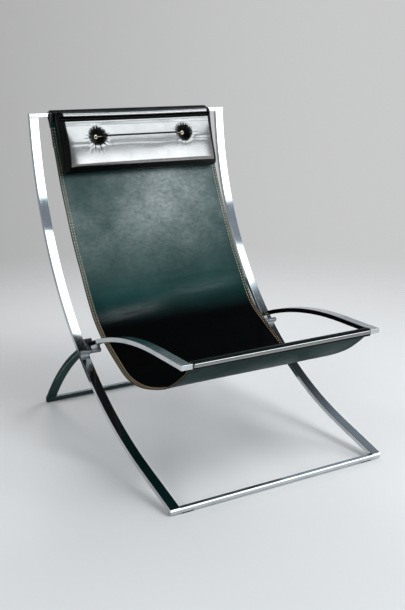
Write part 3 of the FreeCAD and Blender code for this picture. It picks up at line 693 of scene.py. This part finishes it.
def slingRelief(i, x):
    plainRows, fadeRows = slingForm["plainRows"], slingForm["fadeRows"]
    if not frontEnd + plainRows < i < topStart - plainRows:
        return 0.0
    run = runFromRail[i]
    ends = min(1.0, (i - frontEnd) / fadeRows, (topStart - i) / fadeRows)
    inset = sling["halfWidth"] - abs(x)
    free = min(1.0, inset / slingForm["edgeFade"])
    lift = 0.0
    for height, across, along, seed in slingForm["swells"]:
        lift += height * noise.noise(Vector((x * across, run * along, seed)))
    for at, depth, width, waver, seed in slingForm["creases"]:
        offset = run - at - waver * noise.noise(Vector((x * slingForm["waverScale"], seed, 0.0)))
        if abs(offset) < 4 * width:
            swing = noise.noise(Vector((x * slingForm["reachScale"] + seed, seed, 3.0)))
            reach = min(1.0, max(0.0, slingForm["reachBase"] + slingForm["reachSwing"] * swing))
            edge = slingForm["edgeShare"] + (1 - slingForm["edgeShare"]) * free
            lift -= depth * reach * edge * math.exp(-(offset / width) ** 2)
    shift = slingForm["slackShift"] if x > 0 else 0.0
    lift += slingForm["slack"] * (1 - free) * math.sin(run * slingForm["slackWaves"] + shift)
    for row in sling["rowInsets"]:
        lift -= slingForm["groove"] * math.exp(-((inset - row) / slingForm["grooveWidth"]) ** 2)
    return lift * ends


def mirroredColumns(halfWidth, insets, middle):
    side = [halfWidth - inset for inset in insets]
    reach, count = middle
    return [-x for x in side] + list(np.linspace(-reach, reach, count)) + list(reversed(side))


def smooth(value, low, high):
    share = min(1.0, max(0.0, (value - low) / (high - low)))
    return share * share * (3 - 2 * share)


def spot(x, run, atX, atRun, wide, tall):
    return math.exp(-((x - atX) / wide) ** 2 - ((run - atRun) / tall) ** 2)


# Painted sheen: the coat is strong on the back, with a painted highlight patch at the right, painted highlight
# spots and hip streaks, and gone where one sits, where the seat is kept dark
shine = {
    "climb": (0.60, 0.86), "back": 0.45, "highlightPatch": (0.72, 0.09, 0.92, 0.10, 0.09),
    # level, then place and size across and along
    "spots": ((0.22, -0.02, 0.86, 0.06, 0.06), (-0.26, -0.17, 0.95, 0.11, 0.16)),
    "hipHighlights": ((0.15, -0.15, 0.588, 0.1, 0.017), (0.13, 0.12, 0.610, 0.12, 0.017)), "hipSlant": 0.08,
    "blotches": 0.12, "blotchScale": 18, "dye": (0.530, 0.640), "underShade": 0.6,
}


def slingPaintedSheen(i, x, upper):
    run = runFromRail[i]
    if not upper:
        return 0.0
    climb = smooth(run, *shine["climb"])
    highlightPatch, *patchPlace = shine["highlightPatch"]
    level = shine["back"] * climb + highlightPatch * climb * spot(x, run, *patchPlace)
    for share, *where in shine["spots"]:
        level += share * spot(x, run, *where)
    for share, *where in shine["hipHighlights"]:
        level += share * spot(x, run - shine["hipSlant"] * x, *where)
    scale = shine["blotchScale"]
    level += shine["blotches"] * climb * noise.noise(Vector((x * scale, run * scale, 3.0)))
    return min(1.0, max(0.0, level))


# Painted shade: the seat's colour is darkened to plain black, and the underside's partly so
def slingPaintedShade(i, x, upper):
    return smooth(runFromRail[i], *shine["dye"]) if upper else shine["underShade"]


# Painted highlight: the loop's upper front corner rows, picked by the way they face, get a glossier copy of
# the leather as a highlight line; the other loop rows get the darker loop copy as painted shade
def slingLoopShadeAndHighlight(i):
    if i >= frontEnd:
        return 0
    y, z = -slingNormals[i]
    low, high = sling["highlightAngles"]
    return 2 if y < 0 and low < math.degrees(math.atan2(z, -y)) < high else 1


slingColumns = mirroredColumns(sling["halfWidth"], sling["insets"], sling["middle"])
slingPiece, slingTop, slingUnder = leatherStrip(
    "sling", slingPath, sling["halfWidth"], sling["thick"], slingColumns, slingRelief,
    [slingLeather, shadedLoopLeather, highlightLeather], slingLoopShadeAndHighlight, {"waxAndPaintedSheen": slingPaintedSheen, "paintedShadeTone": slingPaintedShade}
)


def rowPlaces(points, lift):
    runs = np.r_[0, np.cumsum(np.linalg.norm(np.diff(points, axis=0), axis=1))]
    pitch, near = stitch["pitch"], 0.001
    places = []
    for at in np.arange(pitch, runs[-1] - pitch / 2, pitch):
        before, middle, after = [
            np.array([np.interp(at + d, runs, points[:, k]) for k in range(3)]) for d in (-near, 0, near)]
        along = after - before
        along /= np.linalg.norm(along)
        places.append((middle, along, lift(along)))
    return places


def edgeRows(grid, side):
    places = []
    for inset in sling["rowInsets"]:
        for x in (-1, 1):
            j = int(np.argmin([abs(c - x * (sling["halfWidth"] - inset)) for c in slingColumns]))
            points = grid[frontEnd + sling["rowEnds"]:topStart, j]
            places += rowPlaces(points, lambda along: side * np.cross((1.0, 0.0, 0.0), along))
    return places


def hemRow(grid, i, side):
    up = np.array((0.0, *(side * slingNormals[i])))
    return rowPlaces(grid[i, sling["rowEnds"]:-sling["rowEnds"]], lambda along: up)


faceStitches, underStitches = edgeRows(slingTop, 1), edgeRows(slingUnder, -1)
stitchPiece = stitchRow("sling_edge_stitches", faceStitches + underStitches, [tanThread, darkThread],
                        [0] * len(faceStitches) + [1] * len(underStitches))
frontHemRow = int(sling["hemRow"] / sling["step"])
backHemRow = len(slingPath) - 1 - frontHemRow
frontHem = stitchRow("sling_front_hem_stitches", hemRow(slingUnder, frontHemRow, -1), [darkThread])
backHem = stitchRow("sling_back_hem_stitches", hemRow(slingUnder, backHemRow, -1), [darkThread])
for piece in (slingPiece, stitchPiece):
    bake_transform(piece)
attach(frontHem, "seat_frame")
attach(backHem, "back_frame")
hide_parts("sling_seat", "sling_bend", "sling_back")

# Headrest: a box pillow with a rolled seam, two tufts and a crease under the lace
pillow = {
    "top": (0.3565, 0.8407), "foot": (0.3135, 0.6762), "halfWidth": 0.243,
    "seamLevel": 0.023, "seamInset": 0.005, "edge": 0.034, "crown": 0.010, "apex": 0.1285,
    "crownHalf": 0.238, "crownPower": 18, "crownRise": 0.085, "crownFall": 0.3,
    "headGap": 0.0180, "headInset": 0.0120, "footInset": 0.021, "sideInset": 0.0095,
    "draw": 0.004, "footDraw": 0.6, "corner": 0.012, "swell": 0.0005,
    "tuftX": 0.136, "tuftS": 0.0736, "tuftFloor": 0.0243, "tuftSeat": 0.0060, "tuftSpread": 0.0114,
    "tuftPower": 1.8, "tuftRagged": ((0.04, 3, 1.0), (0.02, 22, 2.1)),      # share, folds, turn
    "wrinkles": (0.00028, 0.00016), "wrinkleReach": (0.006, 0.07), "wrinkleAt": 0.026,
    "wrinkleSpread": (0.007, 0.013), "wrinkleFolds": ((1.0, 17, 1.4), (0.8, 25, 0.7)),
    "creaseFloor": 0.0262, "creaseWidth": 0.0013, "creasePower": 8, "creaseEnds": 0.01,
    "foldAt": 0.0946, "foldDepth": 0.0003, "foldWidth": 0.0045, "foldWaver": 0.003,
    "foldDeeper": 3, "deeperFrom": (0.15, 0.22),
    # rolled seam: middle, half width and height, then groove place, width and depth
    "headRoll": (0.0064, 0.0068, 0.0072, 0.0170, 0.0038, 0.0030),
    "sideRoll": (0.0004, 0.0026, 0.0012, 0.0050, 0.0019, 0.0014), "rollEnds": (0.012, 0.014),
    # side wall: how far it stands out, and at which level
    "gusset": ((0.0035, 0.0075), (0.0045, 0.0115), (0.0048, 0.0155), (0.0043, 0.0190), (0.0030, 0.0218),
               (0.0012, 0.0240)), "gussetSway": 0.0006,
    "backGrow": 0.002, "backLevel": 0.0003, "backRound": (0.004, 0.008),
    # painted shade on the panel: its border, the head groove and rings round the tufts take the darker, duller
    # side leather
    "border": (0.0140, 0.0088), "groove": (0.0125, 0.0245), "darkTuft": 0.0216, "darkFolds": (0.020, 0.009),
    "darkRagged": ((0.08, 17, 0.0), (0.08, 29, 1.0)), "darkFoldCount": 13, "darkUp": 0.003,
}
pillowTop = np.array(pillow["top"])
pillowDown = np.array(pillow["foot"]) - pillowTop
pillowLength = float(np.linalg.norm(pillowDown))
pillowDown = pillowDown / pillowLength
pillowOut = np.array((pillowDown[1], -pillowDown[0]))


def onPillow(x, s, n):
    y, z = pillowTop + pillowDown * s + pillowOut * n
    return np.array((x, y, z))


# Lace first, on the route's own points: through the left eyelet, across, and down the right one
lace = {
    "diameter": 0.0024, "bottom": 0.0141, "level": 0.0276, "lift": 0.0286, "collar": 0.0255,
    "lean": 0.0008, "near": 0.0144,
}
laceHalf = [
    (pillow["tuftX"], lace["bottom"]), (pillow["tuftX"], lace["collar"]),
    (pillow["tuftX"] - lace["lean"], lace["lift"]), (pillow["tuftX"] - lace["near"], lace["level"]),
]
laceRoute = [(-x, n) for x, n in laceHalf] + [(x, n) for x, n in reversed(laceHalf)]
laceCurve = bpy.data.curves.new("headrest_lace_cord", "CURVE")
laceCurve.dimensions = "3D"
laceCurve.bevel_depth = lace["diameter"] / 2
laceCurve.bevel_resolution = 3
laceCurve.resolution_u = 24
laceCurve.use_fill_caps = True
laceSpline = laceCurve.splines.new("NURBS")
laceSpline.points.add(len(laceRoute) - 1)
for control, (x, n) in zip(laceSpline.points, laceRoute):
    control.co = (*onPillow(x, pillow["tuftS"], n), 1.0)
laceSpline.order_u = 3
laceSpline.use_endpoint_u = True
laceCurve.materials.append(laceHide)
lacePiece = bpy.data.objects.new("headrest_lace_cord", laceCurve)
scene.collection.objects.link(lacePiece)
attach(lacePiece, "back_frame")
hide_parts("headrest_lace")
print("lace made")

# Eyelets: rolled rings with a turned-in throat, as radius and height over the tuft's floor
eyelet = {
    "level": 0.024, "spokes": 40,
    "profile": ((0.0058, 0.0), (0.006, 0.0007), (0.0055, 0.0016), (0.0044, 0.002), (0.0034, 0.0019),
                (0.0027, 0.0012), (0.0025, 0.0002), (0.0026, -0.006), (0.0032, -0.006), (0.0034, -0.0004)),
}


def makeEyelets():
    profile, spokes = eyelet["profile"], eyelet["spokes"]
    count = len(profile)
    verts, faces = [], []
    for side in (-1, 1):
        first = len(verts)
        for k in range(spokes):
            turn = 2 * math.pi * k / spokes
            for r, n in profile:
                verts.append(onPillow(side * pillow["tuftX"] + r * math.cos(turn),
                                      pillow["tuftS"] + r * math.sin(turn), eyelet["level"] + n))
        for k in range(spokes):
            a, b = first + k * count, first + (k + 1) % spokes * count
            for r in range(count):
                s = (r + 1) % count
                faces.append((a + s, b + s, b + r, a + r))
    return newPiece("headrest_eyelet_rings", verts, faces, [brass])


eyeletPiece = makeEyelets()
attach(eyeletPiece, "back_frame")
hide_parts("headrest_eyelets")


def squareToDisc(u, v):
    return u * math.sqrt(1 - v * v / 2), v * math.sqrt(1 - u * u / 2)


# Corners of a rectangle turned to quarter rounds, the rest left alone
def roundOutline(x, s, halfX, halfS, corner):
    over, down = abs(x) - (halfX - corner), abs(s) - (halfS - corner)
    if over <= 0 or down <= 0:
        return x, s
    u, v = squareToDisc(over / corner, down / corner)
    return math.copysign(halfX - corner + u * corner, x), math.copysign(halfS - corner + v * corner, s)


def quarter(distance, inset):
    share = min(1.0, max(0.0, distance / inset))
    return math.sqrt(max(0.0, 1 - (1 - share) ** 2))


# Side, distance and direction of a place as seen from each tuft
def fromTufts(x, s):
    for side in (-1, 1):
        dx, ds = x - side * pillow["tuftX"], s - pillow["tuftS"]
        yield side, math.hypot(dx, ds), math.atan2(ds, dx)


def foldWaves(parts, turn, side, start):
    return sum((share * math.cos(folds * turn + by * side) for share, folds, by in parts), start)


def tuftPull(x, s):
    pull = 0.0
    for side, r, turn in fromTufts(x, s):
        spread = pillow["tuftSpread"] * foldWaves(pillow["tuftRagged"], turn, side, 1)
        pull = max(pull, math.exp(-(max(0.0, r - pillow["tuftSeat"]) / spread) ** pillow["tuftPower"]))
    return pull


def tuftWrinkles(x, s):
    near, far = pillow["wrinkleReach"]
    least, more = pillow["wrinkleSpread"]
    lift = 0.0
    for side, r, turn in fromTufts(x, s):
        if r < near or r > far:
            continue
        below = 0.5 + 0.5 * math.sin(turn)                       # longer folds towards the foot
        spread = math.exp(-((r - pillow["wrinkleAt"]) / (least + more * below)) ** 2)
        reach = spread * (0.5 + 0.5 * noise.noise(Vector((turn * 1.7, side, 0.0))))
        waves = foldWaves(pillow["wrinkleFolds"], turn, side, 0)
        lift += pillow["wrinkles"][int(side > 0)] * reach * waves
    return lift


def rolledSeam(distance, shape):
    crestAt, width, height, grooveAt, grooveWidth, grooveDepth = shape
    roll = height * math.exp(-((distance - crestAt) / width) ** 6)
    return roll - grooveDepth * math.exp(-((distance - grooveAt) / grooveWidth) ** 2)


def frontLevel(x, s, ex, eTop, eFoot):
    head = quarter(eTop - pillow["headGap"], pillow["headInset"])
    rise = quarter(ex, pillow["sideInset"]) * head * quarter(eFoot, pillow["footInset"])
    base = pillow["seamLevel"] + (pillow["edge"] - pillow["seamLevel"]) * rise
    across = max(0.0, 1 - (x / pillow["crownHalf"]) ** pillow["crownPower"])
    past = s - pillow["apex"]                                     # the filling has sunk towards the foot
    if past < 0:
        along = 1 - (past / pillow["crownRise"]) ** 2
    else:
        along = 1 - past ** 2 / (2 * pillow["crownFall"] * pillow["crown"])
    level = base + pillow["crown"] * across * max(0.0, along) * rise
    # the rolled seam stands proud of the panel's border, thickest along the head
    sideEnd, headEnd = pillow["rollEnds"]
    level += rolledSeam(eTop, pillow["headRoll"]) * quarter(ex, sideEnd)
    level += rolledSeam(min(ex, eFoot), pillow["sideRoll"]) * quarter(eTop, headEnd)
    level += pillow["swell"] * noise.noise(Vector((x * 16, s * 22, 5.0))) * rise
    level += tuftWrinkles(x, s) * rise
    level -= (level - pillow["tuftFloor"]) * tuftPull(x, s)
    between = pillow["tuftX"] - abs(x)
    if between > 0:
        offset = s - pillow["tuftS"]
        shape = 1 / (1 + (offset / pillow["creaseWidth"]) ** pillow["creasePower"])
        level -= max(0.0, level - pillow["creaseFloor"]) * shape * min(1.0, between / pillow["creaseEnds"])
    # a soft fold below the tufts from one end to the other, deepest at the right
    fold = s - pillow["foldAt"] - pillow["foldWaver"] * noise.noise(Vector((x * 8, 1.0, 4.0)))
    deeper = 1 + pillow["foldDeeper"] * smooth(x, *pillow["deeperFrom"])
    level -= pillow["foldDepth"] * deeper * math.exp(-(fold / pillow["foldWidth"]) ** 2) * rise
    return level


def spaced(breaks):
    made = []
    for start, end, step in breaks:
        made += list(np.linspace(start, end, max(2, int(round((end - start) / step)) + 1))[:-1])
    return made + [breaks[-1][1]]


# Whether a place on the panel gets painted shade, the darker, duller side leather: along its border, in the
# head groove and round the tufts
def isPaintedShade(x, s, halfX, length):
    over, down = abs(x) - pillow["tuftX"], s + pillow["seamInset"] - pillow["tuftS"] + pillow["darkUp"]
    turn = math.atan2(down, over * math.copysign(1, x))
    ragged = foldWaves(pillow["darkRagged"], turn, 1, 1)
    below = 0.3 + 0.7 * max(0.0, math.sin(turn))
    pulled = max(0.0, math.cos(pillow["darkFoldCount"] * turn + x)) ** 4 * below
    hole = pillow["darkTuft"] * ragged + pillow["darkFolds"][int(x > 0)] * pulled
    sideBorder, footBorder = pillow["border"]
    return (halfX - abs(x) < sideBorder or length - s < footBorder
            or pillow["groove"][0] < s < pillow["groove"][1] or math.hypot(over, down) < hole)


def makePillow():
    seamIn = pillow["seamInset"]
    length = pillowLength - 2 * seamIn
    halfX, halfS = pillow["halfWidth"] - seamIn, length / 2
    # start, end and step: fine round the tufts, the crease and the rolled seam
    xs = spaced([(0.0, 0.106, 0.0040), (0.106, 0.166, 0.0010), (0.166, 0.21, 0.0032),
                 (0.21, halfX, 0.0012)])
    xs = [-x for x in reversed(xs[1:])] + xs
    ss = spaced([(0.0, 0.036, 0.0012), (0.036, 0.0646, 0.0010), (0.0646, 0.0726, 0.00045),
                 (0.0726, 0.112, 0.0010), (0.112, length - 0.03, 0.0028),
                 (length - 0.03, length, 0.0015)])
    nx, ns = len(xs), len(ss)

    # draws the sides in between the corners and grows from the seam to the back
    def outline(x, s, grow):
        wide, tall = halfX + grow, halfS + grow
        px, ps = roundOutline(x, s - halfS, halfX, halfS, pillow["corner"])
        px *= wide / halfX
        ps *= tall / halfS
        px *= 1 - pillow["draw"] / halfX * (1 - (ps / tall) ** 2) * (abs(px) / wide) ** 3
        footDraw = pillow["draw"] * pillow["footDraw"]
        ps *= 1 - footDraw / halfS * (1 - (px / wide) ** 2) * (abs(ps) / tall) ** 3
        return px, ps + pillowLength / 2

    verts, faces = [], []
    front = np.zeros((ns, nx), int)
    back = np.zeros((ns, nx), int)
    for i, s in enumerate(ss):
        for j, x in enumerate(xs):
            px, ps = outline(x, s, 0.0)
            front[i, j] = len(verts)
            verts.append(onPillow(px, ps, frontLevel(px, ps, halfX - abs(x), s, length - s)))
    rounding, roundIn = pillow["backRound"]
    for i, s in enumerate(ss):
        for j, x in enumerate(xs):
            px, ps = outline(x, s, pillow["backGrow"])
            near = min(halfX - abs(x), s, length - s)
            back[i, j] = len(verts)
            verts.append(onPillow(px, ps, pillow["backLevel"] + rounding * (1 - quarter(near, roundIn))))
    rim = [(0, j) for j in range(nx)] + [(i, nx - 1) for i in range(1, ns)]
    rim += [(ns - 1, j) for j in range(nx - 2, -1, -1)] + [(i, 0) for i in range(ns - 2, 0, -1)]
    loops = [[int(back[i, j]) for i, j in rim]]
    for grow, level in pillow["gusset"]:
        loop = []
        for i, j in rim:
            px, ps = outline(xs[j], ss[i], grow)
            sway = pillow["gussetSway"] * noise.noise(Vector((px * 30, ps * 30, level * 90)))
            loop.append(len(verts))
            verts.append(onPillow(px + math.copysign(sway, px), ps, level))
        loops.append(loop)
    loops.append([int(front[i, j]) for i, j in rim])
    for first, second in zip(loops, loops[1:]):
        for k in range(len(rim)):
            m = (k + 1) % len(rim)
            faces.append((first[k], first[m], second[m], second[k]))
    marks = [1] * len(faces)
    for i in range(ns - 1):
        for j in range(nx - 1):
            faces.append((front[i, j], front[i, j + 1], front[i + 1, j + 1], front[i + 1, j]))
            faces.append((back[i, j], back[i + 1, j], back[i + 1, j + 1], back[i, j + 1]))
            x, s = (xs[j] + xs[j + 1]) / 2, (ss[i] + ss[i + 1]) / 2
            marks += [int(isPaintedShade(x, s, halfX, length)), 1]
    faces = [tuple(int(v) for v in reversed(face)) for face in faces]     # outwards
    piece = newPiece("headrest_cushion", verts, faces, [pillowLeather, gussetAndShadeLeather])
    piece.data.polygons.foreach_set("material_index", marks)
    return piece


pillowPiece = makePillow()
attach(pillowPiece, "back_frame")
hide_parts("headrest_pillow")
print("headrest made, points", len(pillowPiece.data.vertices))

# Hanger: a flap from the headrest's back over the top loop, free behind
hanger = {
    "halfWidth": 0.243, "thick": 0.0026, "frontY": 0.3584, "backY": 0.3812, "topZ": 0.8462,
    "frontFoot": 0.8182, "backTurn": 0.8283, "tail": 0.0814, "lean": 15.0,
    "corner": 0.0052, "leanCorner": 0.012, "cornerStep": 0.0006, "step": 0.0024,
    "behind": 0.37, "hangFrom": 0.02, "hangOver": 0.09, "hang": 0.0012, "hangShare": 0.8,
    "rowInset": 0.006, "groove": 0.00025, "grooveWidth": 0.0013,
    "insets": (0.0, 0.0006, 0.0015, 0.003, 0.0045, 0.006, 0.0075, 0.01, 0.016, 0.026), "middle": (0.21, 49),
}
hangerTurn = np.array((hanger["backY"], hanger["backTurn"]))
hangerCorners = [
    np.array((hanger["frontY"], hanger["frontFoot"])), np.array((hanger["frontY"], hanger["topZ"])),
    np.array((hanger["backY"], hanger["topZ"])), hangerTurn,
    hangerTurn + heading(-90 - hanger["lean"]) * hanger["tail"],
]
hangerRadii = (hanger["corner"], hanger["corner"], hanger["leanCorner"])
hangerBend = roundCorners(hangerCorners, hangerRadii, hanger["cornerStep"])
hangerPath, hangerRun = evenly(hangerBend, hanger["step"])
hangerPath = hangerPath[::-1]


def hangerRelief(i, x):
    y, z = hangerPath[i]
    if y < hanger["behind"]:
        return 0.0
    hang = max(0.0, min(1.0, (hanger["topZ"] - hanger["hangFrom"] - z) / hanger["hangOver"]))
    inset = hanger["halfWidth"] - abs(x)
    lift = -hanger["hang"] * hang * (1 + noise.noise(Vector((x * 9, 3.0, 1.0)))) * hanger["hangShare"]
    return lift - hanger["groove"] * math.exp(-((inset - hanger["rowInset"]) / hanger["grooveWidth"]) ** 2)


hangerPiece = leatherStrip(
    "headrest_flap", hangerPath, hanger["halfWidth"], hanger["thick"],
    mirroredColumns(hanger["halfWidth"], hanger["insets"], hanger["middle"]), hangerRelief, [hangerLeather]
)[0]
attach(hangerPiece, "back_frame")
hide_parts("headrest_hanger")
print("hanger made, cut length", round(float(hangerRun[-1]), 4))

# Floor that fades into the background, cards that paint dark and bright reflections into the chrome, and the
# studio's light
studio = {
    "floorRadius": 7.0, "floorLevel": -0.0003, "rings": 12, "spokes": 72, "fade": (0.8, 2.5),
    "floorColour": (0.72, 0.724, 0.732), "floorRough": (0.2, 0.8, 0.55, 0.7), "stain": 0.97, "stainScale": 1.3,
    "low": (0.575, 0.578, 0.582), "wall": (0.33, 0.38, 0.43), "ceiling": (0.01, 0.011, 0.012),
    "wallFrom": (0.2, 0.42), "ceilingFrom": (0.62, 0.86), "leftShade": (0.12, 0.70, 0.66, 1.02),
    "cardLevel": 0.0002, "cardRough": 0.9,
    # flag: the dark card of painted shade; strip: the glowing card of painted highlight
    "flag": ((-0.3, 0.2), (0.45, 0.2), (0.45, 1.4), (-0.61, 1.4), (-0.61, 0.52), (-0.36, 0.45)),
    "shadeCardColours": ((0.02, 0.035, 0.033), (0.07, 0.11, 0.105)), "flagScale": 3.0,
    "strip": ((-0.36, -0.419), (-0.36, -0.52), (0.4, -0.52), (0.4, -0.419)), "glowCardStrength": 1.8,
    "aim": (0.0, 0.15, 0.6), "overhead": 0.25, "overheadSpread": 110.0, "overheadPlace": (0.0, 0.0, 3.0),
}


def makeFloor():
    rings, spokes, level = studio["rings"], studio["spokes"], studio["floorLevel"]
    verts, faces = [(0.0, 0.0, level)], []
    for r in range(1, rings + 1):
        for k in range(spokes):
            turn = 2 * math.pi * k / spokes
            reach = studio["floorRadius"] * r / rings
            verts.append((reach * math.cos(turn), reach * math.sin(turn), level))
    for k in range(spokes):
        faces.append((0, 1 + k, 1 + (k + 1) % spokes))
    for r in range(rings - 1):
        for k in range(spokes):
            a, b = 1 + r * spokes + k, 1 + r * spokes + (k + 1) % spokes
            faces.append((a, a + spokes, b + spokes, b))
    material, tree, shader = newMaterial("paleFloor", **{"Specular IOR Level": 0.2})
    where = objectPlace(tree)
    stains = noiseNode(tree, where, Scale=studio["stainScale"], Detail=3.0).outputs["Fac"]
    darker = tuple(c * studio["stain"] for c in studio["floorColour"])
    join(tree, tint(tree, stains, studio["floorColour"], darker), shader.inputs["Base Color"])
    join(tree, ramp(tree, stains, *studio["floorRough"]), shader.inputs["Roughness"])
    far = addNode(tree, "ShaderNodeVectorMath", operation="LENGTH")
    join(tree, where, far.inputs[0])
    join(tree, ramp(tree, far.outputs["Value"], *studio["fade"], 1.0, 0.0), shader.inputs["Alpha"])
    return newPiece("floor", verts, faces, [material])


# A card on the floor that only reflections see, a painted reflection, clear from below so that the floor keeps
# its own shine
def layCard(name, corners, material, tree, shader):
    side = addNode(tree, "ShaderNodeNewGeometry")
    clear = addNode(tree, "ShaderNodeBsdfTransparent")
    choose = addNode(tree, "ShaderNodeMixShader")
    join(tree, side.outputs["Backfacing"], choose.inputs[0])
    join(tree, shader.outputs["BSDF"], choose.inputs[1])
    join(tree, clear.outputs["BSDF"], choose.inputs[2])
    join(tree, choose.outputs["Shader"], tree.nodes["Material Output"].inputs["Surface"])
    verts = [(x, y, studio["cardLevel"]) for x, y in corners]
    card = newPiece(name, verts, [tuple(range(len(verts)))], [material])
    card.visible_camera = card.visible_diffuse = card.visible_shadow = card.visible_transmission = False
    return card


# Painted shade: a dark card behind the chair, seen only in reflections, that darkens the rear legs and rail in
# the chrome
def makeShadeCard():
    plain = {"Roughness": studio["cardRough"], "Specular IOR Level": 0.0}
    material, tree, shader = newMaterial("studioShadeCard", **plain)
    folds = noiseNode(tree, objectPlace(tree), Scale=studio["flagScale"], Detail=2.0)
    join(tree, tint(tree, folds.outputs["Fac"], *studio["shadeCardColours"]), shader.inputs["Base Color"])
    return layCard("studio_shade_card", studio["flag"], material, tree, shader)


# Painted highlight: a glowing card before the front floor rail, seen only in reflections, that brightens the
# rail in the chrome and lights nothing
def makeGlowCard():
    plain = {"Roughness": studio["cardRough"], "Specular IOR Level": 0.0,
             "Emission Color": (1.0, 1.0, 1.0, 1.0), "Emission Strength": studio["glowCardStrength"]}
    return layCard("studio_glow_card", studio["strip"], *newMaterial("studioGlowCard", **plain))


makeFloor()
makeShadeCard()
makeGlowCard()
world = bpy.data.worlds.new("studio")
scene.world = world
world.use_nodes = True
sky = world.node_tree
skyWhere = addNode(sky, "ShaderNodeTexCoord")
skySplit = addNode(sky, "ShaderNodeSeparateXYZ")
join(sky, skyWhere.outputs["Generated"], skySplit.inputs["Vector"])
wallShare = ramp(sky, skySplit.outputs["Z"], *studio["wallFrom"])
ceilingShare = ramp(sky, skySplit.outputs["Z"], *studio["ceilingFrom"])
skyColour = tint(sky, ceilingShare, tint(sky, wallShare, studio["low"], studio["wall"]), studio["ceiling"])
backdrop = sky.nodes["Background"]
join(sky, skyColour, backdrop.inputs["Color"])
join(sky, ramp(sky, skySplit.outputs["X"], *studio["leftShade"]), backdrop.inputs["Strength"])

cool, warm = (0.91, 0.98, 1.0), (1.0, 0.99, 0.975)
lamps = [
    # name, azimuth from the front to the right, elevation, distance, width, height, watts, colour, in gloss
    ("softboxHigh", 35.0, 48.5, 3.2, 1.96, 1.42, 26.0, cool, True),
    ("softboxLow", 28.0, 13.5, 3.2, 1.6, 1.54, 28.0, cool, True),
    ("keyLight", 26.0, 52.0, 3.2, 1.6, 1.6, 35.0, warm, False),
    ("rightFill", 100.0, 28.0, 5.6, 3.1, 2.4, 108.0, warm, False),
    ("leftFill", -85.0, 28.0, 5.6, 3.1, 2.4, 84.0, warm, False),
    ("backFill", 165.0, 26.0, 5.6, 3.1, 2.4, 112.0, warm, False),
]
aim = Vector(studio["aim"])
for name, azimuth, elevation, distance, width, height, watts, colour, inGloss in lamps:
    light = bpy.data.lights.new(name, "AREA")
    light.shape = "RECTANGLE"
    light.size, light.size_y = width, height
    light.energy, light.color = watts, colour
    lamp = bpy.data.objects.new(name, light)
    a, e = math.radians(azimuth), math.radians(elevation)
    towards = Vector((math.sin(a) * math.cos(e), -math.cos(a) * math.cos(e), math.sin(e)))
    lamp.location = aim + distance * towards
    lamp.rotation_euler = (aim - lamp.location).to_track_quat("-Z", "Y").to_euler()
    lamp.visible_camera = False
    lamp.visible_glossy = inGloss
    scene.collection.objects.link(lamp)
# Even light from above that leaves the ceiling dark in the chrome
fill = bpy.data.lights.new("overheadFill", "SUN")
fill.energy, fill.angle = studio["overhead"], math.radians(studio["overheadSpread"])
fillLamp = bpy.data.objects.new("overheadFill", fill)
fillLamp.location = studio["overheadPlace"]
fillLamp.visible_glossy = False
scene.collection.objects.link(fillLamp)
print("studio lit")
